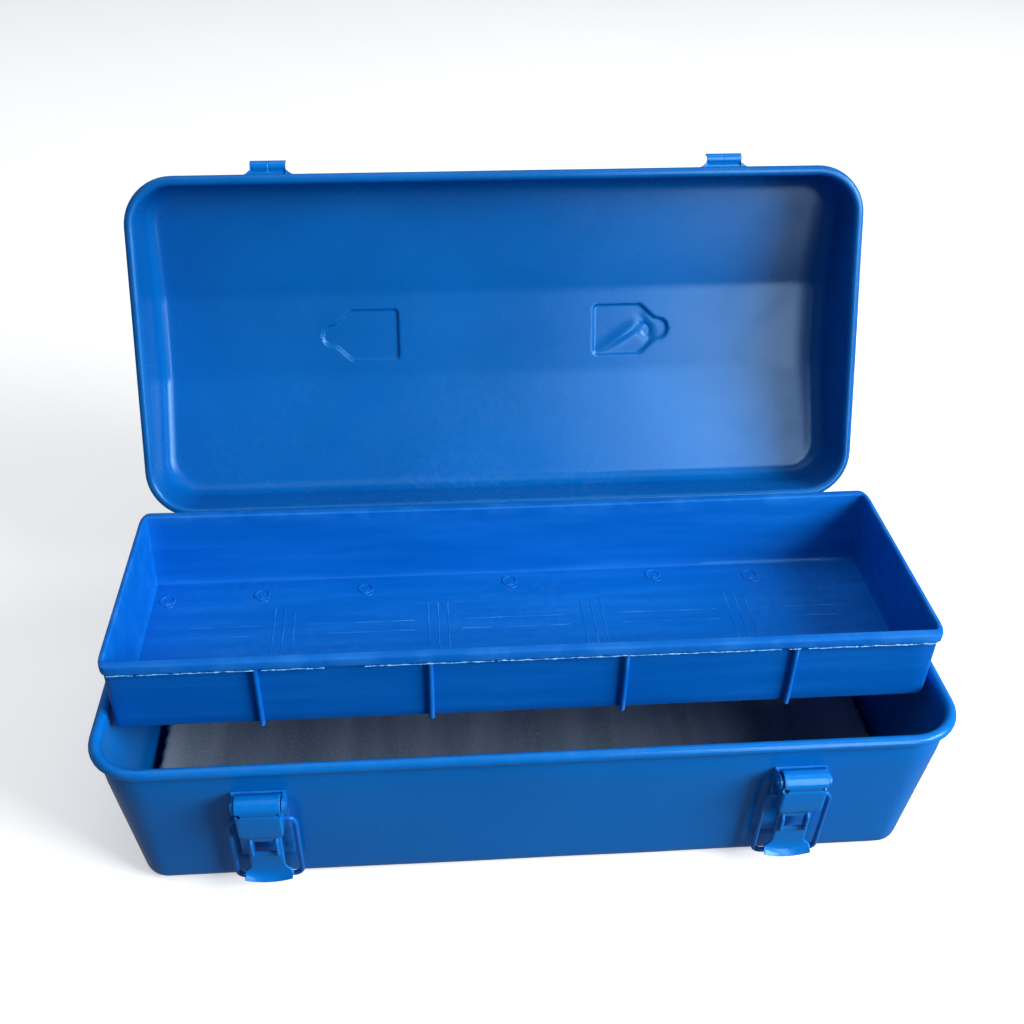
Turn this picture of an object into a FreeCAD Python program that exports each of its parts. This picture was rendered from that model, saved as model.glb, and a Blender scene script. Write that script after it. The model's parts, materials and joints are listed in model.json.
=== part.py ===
"""Steel trunk tool box with a lift-out plastic tray, modelled with its lid open.

Millimetres, Z up, X to the right, Y to the back. The origin is the middle of the
underside of the tub, on the surface that the box stands on.
"""
import FreeCAD
import Part
import math
import os
import Sketcher

doc = FreeCAD.newDocument("tool_box")
sheet = doc.addObject("Spreadsheet::Sheet", "sizes")

SIZES = [
    # tub: pressed sheet steel with a rolled bead round its rim
    ("box_length", 360), ("box_width", 169), ("tub_height", 79), ("steel_wall", 0.8),
    ("bead_size", 4.8), ("corner_radius", 20), ("collar_height", 15), ("floor_inset", 10.2),
    ("floor_radius", 8), ("bevel_share", 0.7), ("cut_overrun", 3),
    # lid: the same plan with three flat facets on top
    ("closing_gap", 0.4), ("lid_height", 44), ("ridge_half_width", 21.3), ("roof_drop", 14),
    ("roof_radius", 7), ("lid_open_angle", 107.6),
    # the pressed seats of the handle on the ridge of the lid
    ("seat_middle", 71.5), ("seat_half_length", 19.8), ("seat_half_width", 13.3),
    ("seat_point_length", 14), ("seat_tip_half_width", 4), ("seat_lift", 1),
    # hinges on the back
    ("hinge_inset", 68), ("hinge_width", 34), ("hinge_leaf", 1), ("knuckle_radius", 2.2),
    ("hinge_pin_radius", 1.2), ("pin_fit", 0.05), ("hinge_gap", 0.5), ("hinge_foot", 9),
    ("knuckle_length", 11), ("knuckle_gap", 0.5), ("pin_overhang", 1),
    ("stop_reach", 4.6), ("stop_thickness", 1.6),
    # tray: moulded plastic
    ("tray_end_gap", 1.4), ("tray_front_gap", 24.8), ("tray_back_gap", 24.8), ("tray_height", 38),
    ("tray_above_rim", 30), ("tray_wall", 1.8), ("tray_floor", 2), ("lip_height", 4.6),
    ("lip_reach_side", 2.6), ("lip_reach_end", 0.7), ("tray_draft_side", 3.6),
    ("tray_draft_end", 0.8), ("rib_thickness", 2.2), ("rib_reach", 2),
    ("rib_drop", 0.9), ("rib_inner_share", 0.233), ("rib_outer_share", 0.6415),
    # rests that carry the tray on the end walls of the tub
    ("rest_width", 70), ("rest_reach", 7), ("rest_height", 6), ("rest_sheet", 1), ("seat_gap", 0.2),
    # mat on the floor of the tub
    ("mat_thickness", 3), ("mat_end_inset", 8.2), ("mat_side_inset", 11.8), ("mat_end_rise", 20),
    ("mat_bend_inset", 15.8), ("mat_gap", 0.3),
    # draw latches on the front
    ("latch_inset", 69), ("plate_half_width", 11), ("plate_start", 0.5), ("plate_height", 44),
    ("plate_sheet", 1), ("pivot_standoff", 5.8), ("pivot_drop", 2.5), ("roll_radius", 4.4),
    ("lever_sheet", 1), ("lever_half_width", 9.2), ("hood_drop", 20), ("hood_back", 2.6),
    ("hood_full_drop", 17), ("tongue_half_width", 7.4), ("tongue_drop", 48), ("tongue_step", 3),
    ("finger_reach", 3.4), ("window_half_width", 4.2), ("window_top", 26), ("window_height", 8.5),
    ("relief_radius", 1.2), ("relief_drop", 3.4), ("relief_place", 6.9),
    ("ear_sheet", 1), ("ear_gap", 0.4), ("ear_radius", 3), ("latch_pin_radius", 1.4),
    ("latch_pin_overhang", 0.7), ("wire_radius", 1.1),
    ("bail_pivot_drop", 14), ("bail_pivot_standoff", 4.4), ("bail_half_width", 13.6),
    ("bail_length", 41), ("bail_bend", 4), ("bail_fit", 0.08),
    ("stub_inset", 1.6), ("bail_lean", 7.5),
    # keepers on the front of the lid
    ("keeper_half_width", 8.5), ("keeper_sheet", 1.2), ("keeper_height", 10), ("keeper_lip", 3),
    ("keeper_notch_half_width", 1.6), ("keeper_gap", 0.25),
    # folding handle on the lid
    ("handle_radius", 3), ("handle_fit", 0.1), ("handle_reach", 38), ("handle_leg_gap", 1),
    ("handle_bend", 9), ("bracket_length", 20), ("bracket_width", 22),
    ("bracket_sheet", 1.4), ("loop_length", 15), ("loop_wall", 1.2), ("handle_end", 5),
    ("grip_radius", 5.6), ("grip_length", 88), ("grip_fit", 0.05), ("handle_hang_angle", 72.4),
]
for row, (alias, size) in enumerate(SIZES, start=1):
    sheet.set(f"A{row}", alias)
    sheet.set(f"B{row}", str(size))
    sheet.setAlias(f"B{row}", alias)
doc.recompute()


def number(text):
    """The value of a sum of named sizes."""
    return float(sheet.evalExpression(text))


# Shared places, each a sum of named sizes.
INNER_X = "(sizes.box_length / 2 - sizes.bead_size)"
INNER_Y = "(sizes.box_width / 2 - sizes.bead_size)"
OUTER_X = f"({INNER_X} + sizes.steel_wall)"
OUTER_Y = f"({INNER_Y} + sizes.steel_wall)"
COLLAR_Z = "(sizes.tub_height - sizes.collar_height)"
BEAD_RADIUS = "(sizes.bead_size / 2)"
LID_Z = "(sizes.tub_height + sizes.closing_gap)"
RIDGE_Z = f"({LID_Z} + sizes.lid_height)"
HINGE_Y = "(sizes.box_width / 2 + sizes.hinge_gap + sizes.knuckle_radius)"
HINGE_Z = "(sizes.tub_height + sizes.closing_gap / 2)"
TRAY_TOP = "(sizes.tub_height + sizes.tray_above_rim)"
TRAY_BOTTOM = f"({TRAY_TOP} - sizes.tray_height)"
TRAY_X = f"({INNER_X} - sizes.tray_end_gap)"
TRAY_Y = f"({INNER_Y} - (sizes.tray_front_gap + sizes.tray_back_gap) / 2)"
TRAY_SHIFT = "((sizes.tray_front_gap - sizes.tray_back_gap) / 2)"
FLOOR_X = f"({OUTER_X} - sizes.floor_inset)"
FLOOR_Y = f"({OUTER_Y} - sizes.floor_inset)"
HINGE_X = "(sizes.box_length / 2 - sizes.hinge_inset)"
LATCH_X = "(sizes.box_length / 2 - sizes.latch_inset)"
WALL_LEAN = f"atan(sizes.floor_inset / {COLLAR_Z})"
PLATE_Z = f"({RIDGE_Z} + sizes.seat_lift + sizes.bracket_sheet)"
HANDLE_Z = f"({PLATE_Z} + sizes.handle_radius + sizes.handle_fit)"
LEG_X = "(sizes.seat_middle - sizes.bracket_length / 2 - sizes.handle_leg_gap - sizes.handle_radius)"

BAIL_Y = (f"(-{OUTER_Y} - sizes.bail_pivot_standoff * cos({WALL_LEAN})"
          f" + sizes.bail_pivot_drop * sin({WALL_LEAN}))")
BAIL_Z = (f"({COLLAR_Z} - sizes.bail_pivot_standoff * sin({WALL_LEAN})"
          f" - sizes.bail_pivot_drop * cos({WALL_LEAN}))")
BAR_Y = f"({BAIL_Y} - sizes.bail_length * sin(sizes.bail_lean))"
BAR_Z = f"({BAIL_Z} + sizes.bail_length * cos(sizes.bail_lean))"
TUB_SHELF_Z = "(sizes.tub_height - sizes.bead_size - sizes.knuckle_gap)"
LID_SHELF_Z = f"({LID_Z} + sizes.bead_size + sizes.knuckle_gap)"

BEAD_SIDES = 8
WIRE_SIDES = 8
ALONG_X = FreeCAD.Vector(1, 0, 0)
SIDES = (("left", -1), ("right", 1))


def new_body(name):
    """One sub-part, whose label names its file."""
    body = doc.addObject("PartDesign::Body", name)
    body.Label = name
    return body


def origin_plane(body, role):
    return next(item for item in body.Origin.OriginFeatures if item.Role == role)


def new_sketch(body, role, height=None):
    """A sketch on one of the body's own planes, moved along the plane's normal."""
    sketch = body.newObject("Sketcher::SketchObject", f"{body.Name}_outline")
    sketch.AttachmentSupport = [(origin_plane(body, role), "")]
    sketch.MapMode = "FlatFace"
    if height:
        sketch.setExpression("AttachmentOffset.Base.z", height)
    return sketch


def bind(sketch, kind, places, text):
    """A dimension of the sketch that follows a sum of named sizes."""
    index = sketch.addConstraint(Sketcher.Constraint(kind, *places, number(text)))
    sketch.setExpression(f"Constraints[{index}]", text)


def pin_point(sketch, item, end, across, up):
    bind(sketch, "DistanceX", (-1, 1, item, end), across)
    bind(sketch, "DistanceY", (-1, 1, item, end), up)


def polygon(sketch, points):
    """A closed outline of straight lines between points given in named sizes."""
    spots = [FreeCAD.Vector(number(across), number(up), 0) for across, up in points]
    count = len(spots)
    first = sketch.GeometryCount
    for index in range(count):
        sketch.addGeometry(Part.LineSegment(spots[index], spots[(index + 1) % count]), False)
    for index in range(count):
        following = first + (index + 1) % count
        sketch.addConstraint(Sketcher.Constraint("Coincident", first + index, 2, following, 1))
    for index, (across, up) in enumerate(points):
        pin_point(sketch, first + index, 1, across, up)


def rectangle(sketch, low_x, high_x, low_y, high_y):
    polygon(sketch, [(low_x, low_y), (high_x, low_y), (high_x, high_y), (low_x, high_y)])


def circle(sketch, across, up, radius):
    middle = FreeCAD.Vector(number(across), number(up), 0)
    item = sketch.addGeometry(Part.Circle(middle, FreeCAD.Vector(0, 0, 1), number(radius)), False)
    pin_point(sketch, item, 3, across, up)
    bind(sketch, "Radius", (item,), radius)


def many_sided(sketch, across, up, radius, sides):
    """The section of a bead or wire: flat sides whose corners lie on a circle."""
    points = []
    for place in range(sides):
        angle = 360 * (place + 0.5) / sides
        points.append((f"{across} + {radius} * cos({angle})", f"{up} + {radius} * sin({angle})"))
    polygon(sketch, points)


def rounded_run(sketch, corners, radii, closed=True):
    """Level and upright runs with an arc at each corner; an open run keeps its two ends."""
    spots = [FreeCAD.Vector(number(across), number(up), 0) for across, up in corners]
    count = len(spots)
    arcs = []
    for index in range(count) if closed else range(1, count - 1):
        before = (spots[index] - spots[index - 1]).normalize()
        after = (spots[(index + 1) % count] - spots[index]).normalize()
        radius = radii[index]
        bulge = after - before
        middle = spots[index] + bulge * number(radius)
        arrive = spots[index] - before * number(radius)
        leave = spots[index] + after * number(radius)
        left_turn = before.cross(after).z > 0
        start, end = (arrive, leave) if left_turn else (leave, arrive)
        angles = [math.atan2(spot.y - middle.y, spot.x - middle.x) for spot in (start, end)]
        ring = Part.Circle(middle, FreeCAD.Vector(0, 0, 1), number(radius))
        item = sketch.addGeometry(Part.ArcOfCircle(ring, *angles), False)
        across = f"{corners[index][0]} + ({round(bulge.x)}) * {radius}"
        up = f"{corners[index][1]} + ({round(bulge.y)}) * {radius}"
        pin_point(sketch, item, 3, across, up)
        bind(sketch, "Radius", (item,), radius)
        arcs.append((item, 1 if left_turn else 2, 2 if left_turn else 1, arrive, leave))
    pairs = list(zip(arcs, arcs[1:]))
    if closed:
        pairs.append((arcs[-1], arcs[0]))
    for (item, _, way_out, _, leave), (following, way_in, _, arrive, _) in pairs:
        line = sketch.addGeometry(Part.LineSegment(leave, arrive), False)
        sketch.addConstraint(Sketcher.Constraint("Tangent", item, way_out, line, 1))
        sketch.addConstraint(Sketcher.Constraint("Tangent", line, 2, following, way_in))
    if not closed:
        line = sketch.addGeometry(Part.LineSegment(spots[0], arcs[0][3]), False)
        sketch.addConstraint(Sketcher.Constraint("Tangent", line, 2, arcs[0][0], arcs[0][1]))
        pin_point(sketch, line, 1, *corners[0])
        line = sketch.addGeometry(Part.LineSegment(arcs[-1][4], spots[-1]), False)
        sketch.addConstraint(Sketcher.Constraint("Tangent", line, 1, arcs[-1][0], arcs[-1][2]))
        pin_point(sketch, line, 2, *corners[-1])


def plan_outline(sketch, half_x, half_y, radius, middle_y="0"):
    """A rectangle with rounded corners, centred across the box."""
    corners = [(f"-{half_x}", f"{middle_y} - {half_y}"), (half_x, f"{middle_y} - {half_y}"),
               (half_x, f"{middle_y} + {half_y}"), (f"-{half_x}", f"{middle_y} + {half_y}")]
    rounded_run(sketch, corners, [radius] * len(corners))


def volume_of(body):
    return 0 if body.Shape.isNull() else body.Shape.Volume


def settle(body, feature, volume_change):
    """Rebuilds the document and stops where a feature failed or changed nothing."""
    before = volume_of(body)
    body.Tip = feature
    doc.recompute()
    if "Invalid" in feature.State or "Error" in feature.State or not feature.Shape.isValid():
        raise RuntimeError(f"{body.Label}: {feature.Name} {feature.State}")
    if volume_change * (volume_of(body) - before) <= 0:
        raise RuntimeError(f"{body.Label}: {feature.Name} left the volume as it was")
    return feature


def pad(body, sketch, length, midplane=False, backwards=False, taper=None):
    feature = body.newObject("PartDesign::Pad", f"{body.Name}_pad")
    feature.Profile = sketch
    feature.setExpression("Length", length)
    if taper:
        feature.setExpression("TaperAngle", f"-{taper}")
    feature.Midplane = midplane
    feature.Reversed = backwards
    return settle(body, feature, 1)


def pocket(body, sketch, length, midplane=False, backwards=False):
    feature = body.newObject("PartDesign::Pocket", f"{body.Name}_pocket")
    feature.Profile = sketch
    feature.setExpression("Length", length)
    feature.Midplane = midplane
    feature.Reversed = backwards
    return settle(body, feature, -1)


def loft(body, sketches, kind="Additive"):
    """Straight walls between outlines at different heights."""
    feature = body.newObject(f"PartDesign::{kind}Loft", f"{body.Name}_loft")
    feature.Profile = sketches[0]
    feature.Sections = sketches[1:]
    feature.Ruled = True
    return settle(body, feature, 1 if kind == "Additive" else -1)


def pipe(body, section, spine):
    feature = body.newObject("PartDesign::AdditivePipe", f"{body.Name}_pipe")
    feature.Profile = section
    feature.Spine = (spine, [])
    return settle(body, feature, 1)


def round_edges(body, radius, wanted):
    """A fillet on the edges that the test picks."""
    base = body.Tip
    names = [f"Edge{place}" for place, edge in enumerate(base.Shape.Edges, start=1) if wanted(edge)]
    feature = body.newObject("PartDesign::Fillet", f"{body.Name}_round")
    feature.Base = (base, names)
    feature.setExpression("Radius", radius)
    return settle(body, feature, -1)


def bevel_edges(body, size, wanted):
    """A flat bevel on the edges that the test picks."""
    base = body.Tip
    names = [f"Edge{place}" for place, edge in enumerate(base.Shape.Edges, start=1) if wanted(edge)]
    feature = body.newObject("PartDesign::Chamfer", f"{body.Name}_bevel")
    feature.Base = (base, names)
    feature.setExpression("Size", size)
    return settle(body, feature, -1)


def cut_away(body, tool):
    """Takes another solid out of the body, as a press punch does."""
    feature = body.newObject("PartDesign::Boolean", f"{body.Name}_cut")
    feature.setObjects([tool])
    feature.Type = "Cut"
    return settle(body, feature, -1)


def level(edge, height):
    """True for an edge that lies in the level plane at this height."""
    tolerance = number("sizes.steel_wall") / 100
    return all(abs(vertex.Z - height) < tolerance for vertex in edge.Vertexes)


def spot(across, back, up):
    return FreeCAD.Vector(number(across), number(back), number(up))


def turned(angle, middle):
    """A turn about a line along X through a point."""
    return FreeCAD.Placement(FreeCAD.Vector(), FreeCAD.Rotation(ALONG_X, angle), middle)


HINGE_LINE = spot("0", HINGE_Y, HINGE_Z)
LID_OPEN = turned(-number("sizes.lid_open_angle"), HINGE_LINE)


def latch_frame(side):
    """The front wall under the collar, at one latch: X along the box, Z up the wall."""
    base = spot(f"{side} * {LATCH_X}", f"-{OUTER_Y}", COLLAR_Z)
    return FreeCAD.Placement(base, FreeCAD.Rotation(ALONG_X, number(WALL_LEAN)))


def finish_edges(body, radius, inset, wanted):
    """Outside, the press's round edge; inside, a bevel that keeps the sheet whole behind it."""
    if inset == "0":
        round_edges(body, radius, wanted)
    else:
        bevel_edges(body, f"{radius} * sizes.bevel_share", wanted)


def tub_form(body, floor, top, inset):
    """The tub as a block: upright collar, leaning walls and a rounded floor edge."""
    corner = f"(sizes.corner_radius - {inset})"
    for length, lean in ((f"{top} - {COLLAR_Z}", None), (f"{COLLAR_Z} - {floor}", WALL_LEAN)):
        sketch = new_sketch(body, "XY_Plane", COLLAR_Z)
        plan_outline(sketch, f"({OUTER_X} - {inset})", f"({OUTER_Y} - {inset})", corner)
        pad(body, sketch, length, backwards=bool(lean), taper=lean)
    bottom = number(floor)
    finish_edges(body, "sizes.floor_radius", inset, lambda edge: level(edge, bottom))


def build_tub():
    body = new_body("base_tub")
    rim = f"(sizes.tub_height - {BEAD_RADIUS})"
    tub_form(body, "0", rim, "0")
    hollow = new_body("tub_hollow")
    tub_form(hollow, "sizes.steel_wall", f"({rim} + sizes.cut_overrun)", "sizes.steel_wall")
    cut_away(body, hollow)
    add_bead(body, rim)
    return body


def add_bead(body, height):
    """The rolled bead: a round ring whose inner side is the inner face of the wall."""
    spine = new_sketch(body, "XY_Plane", height)
    radius = f"(sizes.corner_radius - sizes.steel_wall + {BEAD_RADIUS})"
    plan_outline(spine, f"({INNER_X} + {BEAD_RADIUS})", f"({INNER_Y} + {BEAD_RADIUS})", radius)
    section = new_sketch(body, "XZ_Plane")
    many_sided(section, f"{INNER_X} + {BEAD_RADIUS}", height, BEAD_RADIUS, BEAD_SIDES)
    return pipe(body, section, spine)


def hollow_lid(body, inset):
    """The lid as a block: upright walls, a flat ridge and two slopes, with a rounded edge."""
    corner = f"(sizes.corner_radius - {inset})"
    low = f"({LID_Z} + {BEAD_RADIUS})"
    top = f"({RIDGE_Z} - {inset})"
    reach = "(sizes.box_width / 2)"
    fall = f"(sizes.roof_drop * ({reach} - sizes.ridge_half_width) / ({OUTER_Y} - sizes.ridge_half_width))"
    start = f"({low} - sizes.cut_overrun)" if inset != "0" else low
    sketch = new_sketch(body, "XY_Plane", start)
    plan_outline(sketch, f"({OUTER_X} - {inset})", f"({OUTER_Y} - {inset})", corner)
    pad(body, sketch, f"{top} - {start}")
    for side in "", "-":
        sketch = new_sketch(body, "YZ_Plane")
        polygon(sketch, [(f"{side}sizes.ridge_half_width", top), (f"{side}{reach}", f"{top} - {fall}"),
                         (f"{side}{reach}", f"{top} + sizes.cut_overrun"),
                         (f"{side}sizes.ridge_half_width", f"{top} + sizes.cut_overrun")])
        pocket(body, sketch, "sizes.box_length", midplane=True)
    shoulder = number(f"{top} - {fall}")
    ridge = number("sizes.ridge_half_width")

    def on_roof_edge(edge):
        if min(vertex.Z for vertex in edge.Vertexes) < shoulder:
            return False
        ends = [vertex.Point for vertex in edge.Vertexes]
        crease = abs(ends[0].y - ends[1].y) < ridge / 100 and abs(abs(ends[0].y) - ridge) < ridge / 100
        return not crease

    finish_edges(body, "sizes.roof_radius", inset, on_roof_edge)


def seat_points(side, grow):
    """The outline of a handle seat, pointing outwards, made larger by a margin."""
    inner = f"{side} * (sizes.seat_middle - sizes.seat_half_length - {grow})"
    neck = f"{side} * (sizes.seat_middle + sizes.seat_half_length - sizes.seat_point_length)"
    tip = f"{side} * (sizes.seat_middle + sizes.seat_half_length + {grow})"
    half = f"(sizes.seat_half_width + {grow})"
    narrow = f"(sizes.seat_tip_half_width + {grow} / 2)"
    return [(inner, f"-{half}"), (neck, f"-{half}"), (tip, f"-{narrow}"),
            (tip, narrow), (neck, half), (inner, half)]


def build_lid():
    body = new_body("lid_shell")
    hollow_lid(body, "0")
    inside = new_body("lid_hollow")
    hollow_lid(inside, "sizes.steel_wall")
    cut_away(body, inside)
    for side in (-1, 1):
        sketch = new_sketch(body, "XY_Plane", f"{RIDGE_Z} - sizes.steel_wall / 2")
        polygon(sketch, seat_points(side, "sizes.steel_wall"))
        pad(body, sketch, "sizes.seat_lift + sizes.steel_wall / 2")
        sketch = new_sketch(body, "XY_Plane", f"{RIDGE_Z} - sizes.steel_wall - sizes.cut_overrun")
        polygon(sketch, seat_points(side, "0"))
        pocket(body, sketch, "sizes.seat_lift + sizes.cut_overrun", backwards=True)
    add_bead(body, f"({LID_Z} + {BEAD_RADIUS})")
    body.Placement = LID_OPEN
    return body


def tray_outline(sketch, half_x, half_y):
    rectangle(sketch, f"-{half_x}", half_x, f"{TRAY_SHIFT} - {half_y}", f"{TRAY_SHIFT} + {half_y}")


def build_tray():
    """A moulded tray: drafted walls, a thick lip and upright ribs on its long sides."""
    body = new_body("tray")
    half_x = f"({TRAY_X} - sizes.lip_reach_end)"
    half_y = f"({TRAY_Y} - sizes.lip_reach_side)"
    low_x = f"({half_x} - sizes.tray_draft_end)"
    low_y = f"({half_y} - sizes.tray_draft_side)"
    outline = []
    for height, wide, deep in ((TRAY_BOTTOM, low_x, low_y), (TRAY_TOP, half_x, half_y)):
        sketch = new_sketch(body, "XY_Plane", height)
        tray_outline(sketch, wide, deep)
        outline.append(sketch)
    loft(body, outline)
    sketch = new_sketch(body, "XY_Plane", f"{TRAY_TOP} - sizes.lip_height")
    tray_outline(sketch, TRAY_X, TRAY_Y)
    pad(body, sketch, "sizes.lip_height")
    rib_top = f"({TRAY_TOP} - sizes.lip_height)"
    for share in ("-sizes.rib_outer_share", "-sizes.rib_inner_share",
                  "sizes.rib_inner_share", "sizes.rib_outer_share"):
        for side in ("-", ""):
            sketch = new_sketch(body, "YZ_Plane", f"{share} * {TRAY_X}")
            middle = f"{TRAY_SHIFT} + {side}1"
            foot = f"{middle} * ({low_y} + sizes.rib_reach)"
            head = f"{middle} * ({half_y} + sizes.rib_reach)"
            inner = f"{middle} * ({low_y} - sizes.tray_wall / 2)"
            polygon(sketch, [(inner, f"{TRAY_BOTTOM} - sizes.rib_drop"),
                             (foot, f"{TRAY_BOTTOM} - sizes.rib_drop"), (head, rib_top), (inner, rib_top)])
            pad(body, sketch, "sizes.rib_thickness", midplane=True)
    outline = []
    for height, wide, deep in ((f"({TRAY_BOTTOM} + sizes.tray_floor)", low_x, low_y),
                               (TRAY_TOP, half_x, half_y)):
        sketch = new_sketch(body, "XY_Plane", height)
        tray_outline(sketch, f"({wide} - sizes.tray_wall)", f"({deep} - sizes.tray_wall)")
        outline.append(sketch)
    loft(body, outline, "Subtractive")
    return body


def build_rest(name, side):
    """An angle of sheet, spot welded to the end wall, on which the tray stands."""
    body = new_body(f"tray_rest_{name}")
    top = f"({TRAY_BOTTOM} - sizes.seat_gap)"
    sketch = new_sketch(body, "XZ_Plane", f"-{TRAY_SHIFT} - sizes.rest_width / 2")
    wall = f"{side} * {INNER_X}"
    inner = f"{side} * ({INNER_X} - sizes.rest_sheet)"
    reach = f"{side} * ({INNER_X} - sizes.rest_reach)"
    polygon(sketch, [(wall, f"{top} - sizes.rest_height"), (wall, top), (reach, top),
                     (reach, f"{top} - sizes.rest_sheet"), (inner, f"{top} - sizes.rest_sheet"),
                     (inner, f"{top} - sizes.rest_height")])
    pad(body, sketch, "sizes.rest_width")
    return body


def build_mat():
    """The soft mat on the floor, whose ends climb the end walls."""
    body = new_body("base_mat")
    floor = "(sizes.steel_wall + sizes.mat_gap)"
    top = f"({floor} + sizes.mat_thickness)"
    lift = "sizes.mat_end_rise"
    flat = f"({FLOOR_X} - sizes.mat_bend_inset)"
    end = f"({INNER_X} - sizes.mat_end_inset)"
    skin = "sizes.mat_thickness"
    sketch = new_sketch(body, "XZ_Plane")
    polygon(sketch, [(f"-{flat}", floor), (flat, floor), (end, f"{floor} + {lift}"),
                     (f"{end} - {skin}", f"{top} + {lift}"), (f"{flat} - {skin}", top),
                     (f"-({flat} - {skin})", top), (f"-({end} - {skin})", f"{top} + {lift}"),
                     (f"-{end}", f"{floor} + {lift}")])
    pad(body, sketch, f"2 * ({FLOOR_Y} - sizes.mat_side_inset)", midplane=True)
    return body


def hinge_outline(up, shelf):
    """The side view of a hinge leaf: strip behind the bead, step and foot on the wall."""
    strip = f"({HINGE_Y} - sizes.knuckle_radius)"
    outside = f"({strip} + sizes.hinge_leaf)"
    near = f"({HINGE_Z} + {up} * (sizes.knuckle_radius + sizes.knuckle_gap))"
    step = f"({shelf} + {up} * sizes.hinge_leaf)"
    tip = f"({shelf} + {up} * sizes.hinge_foot)"
    face = f"({OUTER_Y} + sizes.hinge_leaf)"
    return [(strip, near), (outside, near), (outside, step), (face, step), (face, tip),
            (OUTER_Y, tip), (OUTER_Y, shelf), (strip, shelf)]


def knuckle(body, low_x, length, up):
    """A rolled knuckle with the web that ties it to its strip."""
    sketch = new_sketch(body, "YZ_Plane", low_x)
    circle(sketch, HINGE_Y, HINGE_Z, "sizes.knuckle_radius")
    pad(body, sketch, length)
    sketch = new_sketch(body, "YZ_Plane", low_x)
    strip = f"{HINGE_Y} - sizes.knuckle_radius"
    rectangle(sketch, strip, f"{strip} + sizes.hinge_leaf", HINGE_Z,
              f"{HINGE_Z} + {up} * (sizes.knuckle_radius + sizes.knuckle_gap + sizes.hinge_leaf)")
    pad(body, sketch, length)


def pin_bore(body):
    sketch = new_sketch(body, "YZ_Plane")
    circle(sketch, HINGE_Y, HINGE_Z, "sizes.hinge_pin_radius + sizes.pin_fit")
    pocket(body, sketch, "2 * sizes.hinge_width", midplane=True)


def build_tub_leaf(name, side):
    """The fixed leaf, with two outer knuckles."""
    body = new_body(f"hinge_tub_leaf_{name}")
    sketch = new_sketch(body, "YZ_Plane")
    polygon(sketch, hinge_outline(-1, TUB_SHELF_Z))
    pad(body, sketch, "sizes.hinge_width", midplane=True)
    inner = "(sizes.knuckle_length / 2 + sizes.knuckle_gap)"
    length = f"(sizes.hinge_width / 2 - {inner})"
    for start in (inner, f"-{inner} - {length}"):
        knuckle(body, start, length, -1)
    pin_bore(body)
    body.Placement = FreeCAD.Placement(spot(f"{side} * {HINGE_X}", "0", "0"), FreeCAD.Rotation())
    return body


def build_lid_leaf(name, side):
    """The moving leaf: one middle knuckle, with a nose that stops the open lid."""
    body = new_body(f"hinge_lid_leaf_{name}")
    sketch = new_sketch(body, "YZ_Plane")
    polygon(sketch, hinge_outline(1, LID_SHELF_Z))
    pad(body, sketch, "sizes.hinge_width", midplane=True)
    knuckle(body, "-sizes.knuckle_length / 2", "sizes.knuckle_length", 1)
    sketch = new_sketch(body, "YZ_Plane")
    strip = "(sizes.hinge_leaf + sizes.pin_fit - sizes.knuckle_radius)"
    corners = ((strip, "-sizes.hinge_pin_radius"), (strip, "-sizes.stop_reach"),
               (f"({strip} + sizes.stop_thickness)", "-sizes.stop_reach"),
               (f"({strip} + sizes.stop_thickness)", "-sizes.hinge_pin_radius"))
    points = []
    for back, up in corners:
        turn_y = f"{back} * cos(sizes.lid_open_angle) - ({up}) * sin(sizes.lid_open_angle)"
        turn_z = f"{back} * sin(sizes.lid_open_angle) + ({up}) * cos(sizes.lid_open_angle)"
        points.append((f"{HINGE_Y} + {turn_y}", f"{HINGE_Z} + {turn_z}"))
    polygon(sketch, points)
    pad(body, sketch, "sizes.knuckle_length", midplane=True)
    pin_bore(body)
    shift = FreeCAD.Placement(spot(f"{side} * {HINGE_X}", "0", "0"), FreeCAD.Rotation())
    body.Placement = LID_OPEN.multiply(shift)
    return body


def cylinder(name, radius, length, base, direction):
    """A round bar from a point along a direction."""
    bar = doc.addObject("Part::Cylinder", name)
    bar.setExpression("Radius", radius)
    bar.setExpression("Height", length)
    turn = FreeCAD.Rotation(FreeCAD.Vector(0, 0, 1), direction)
    bar.Placement = FreeCAD.Placement(base, turn)
    return bar


def build_hinge_pin(name, side):
    length = "sizes.hinge_width + 2 * sizes.pin_overhang"
    base = spot(f"{side} * {HINGE_X} - ({length}) / 2", HINGE_Y, HINGE_Z)
    return cylinder(f"hinge_pin_{name}", "sizes.hinge_pin_radius", length, base, ALONG_X)


def build_latch_plate(name, side):
    """The fixed plate of a draw latch, with an ear each side of the lever."""
    body = new_body(f"latch_plate_{name}")
    sketch = new_sketch(body, "XZ_Plane")
    rectangle(sketch, "-sizes.plate_half_width", "sizes.plate_half_width",
              "-sizes.plate_start - sizes.plate_height", "-sizes.plate_start")
    pad(body, sketch, "sizes.plate_sheet")
    inner = "(sizes.lever_half_width + sizes.ear_gap)"
    for start in (inner, f"-{inner} - sizes.ear_sheet"):
        sketch = new_sketch(body, "YZ_Plane", start)
        circle(sketch, "-sizes.pivot_standoff", "-sizes.pivot_drop", "sizes.ear_radius")
        pad(body, sketch, "sizes.ear_sheet")
        sketch = new_sketch(body, "YZ_Plane", start)
        rectangle(sketch, "-sizes.pivot_standoff", "-sizes.plate_sheet / 2",
                  "-sizes.pivot_drop - sizes.ear_radius", "-sizes.plate_start")
        pad(body, sketch, "sizes.ear_sheet")
    sketch = new_sketch(body, "YZ_Plane")
    circle(sketch, "-sizes.pivot_standoff", "-sizes.pivot_drop", "sizes.latch_pin_radius + sizes.pin_fit")
    pocket(body, sketch, "4 * sizes.plate_half_width", midplane=True)
    body.Placement = latch_frame(side)
    return body


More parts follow.
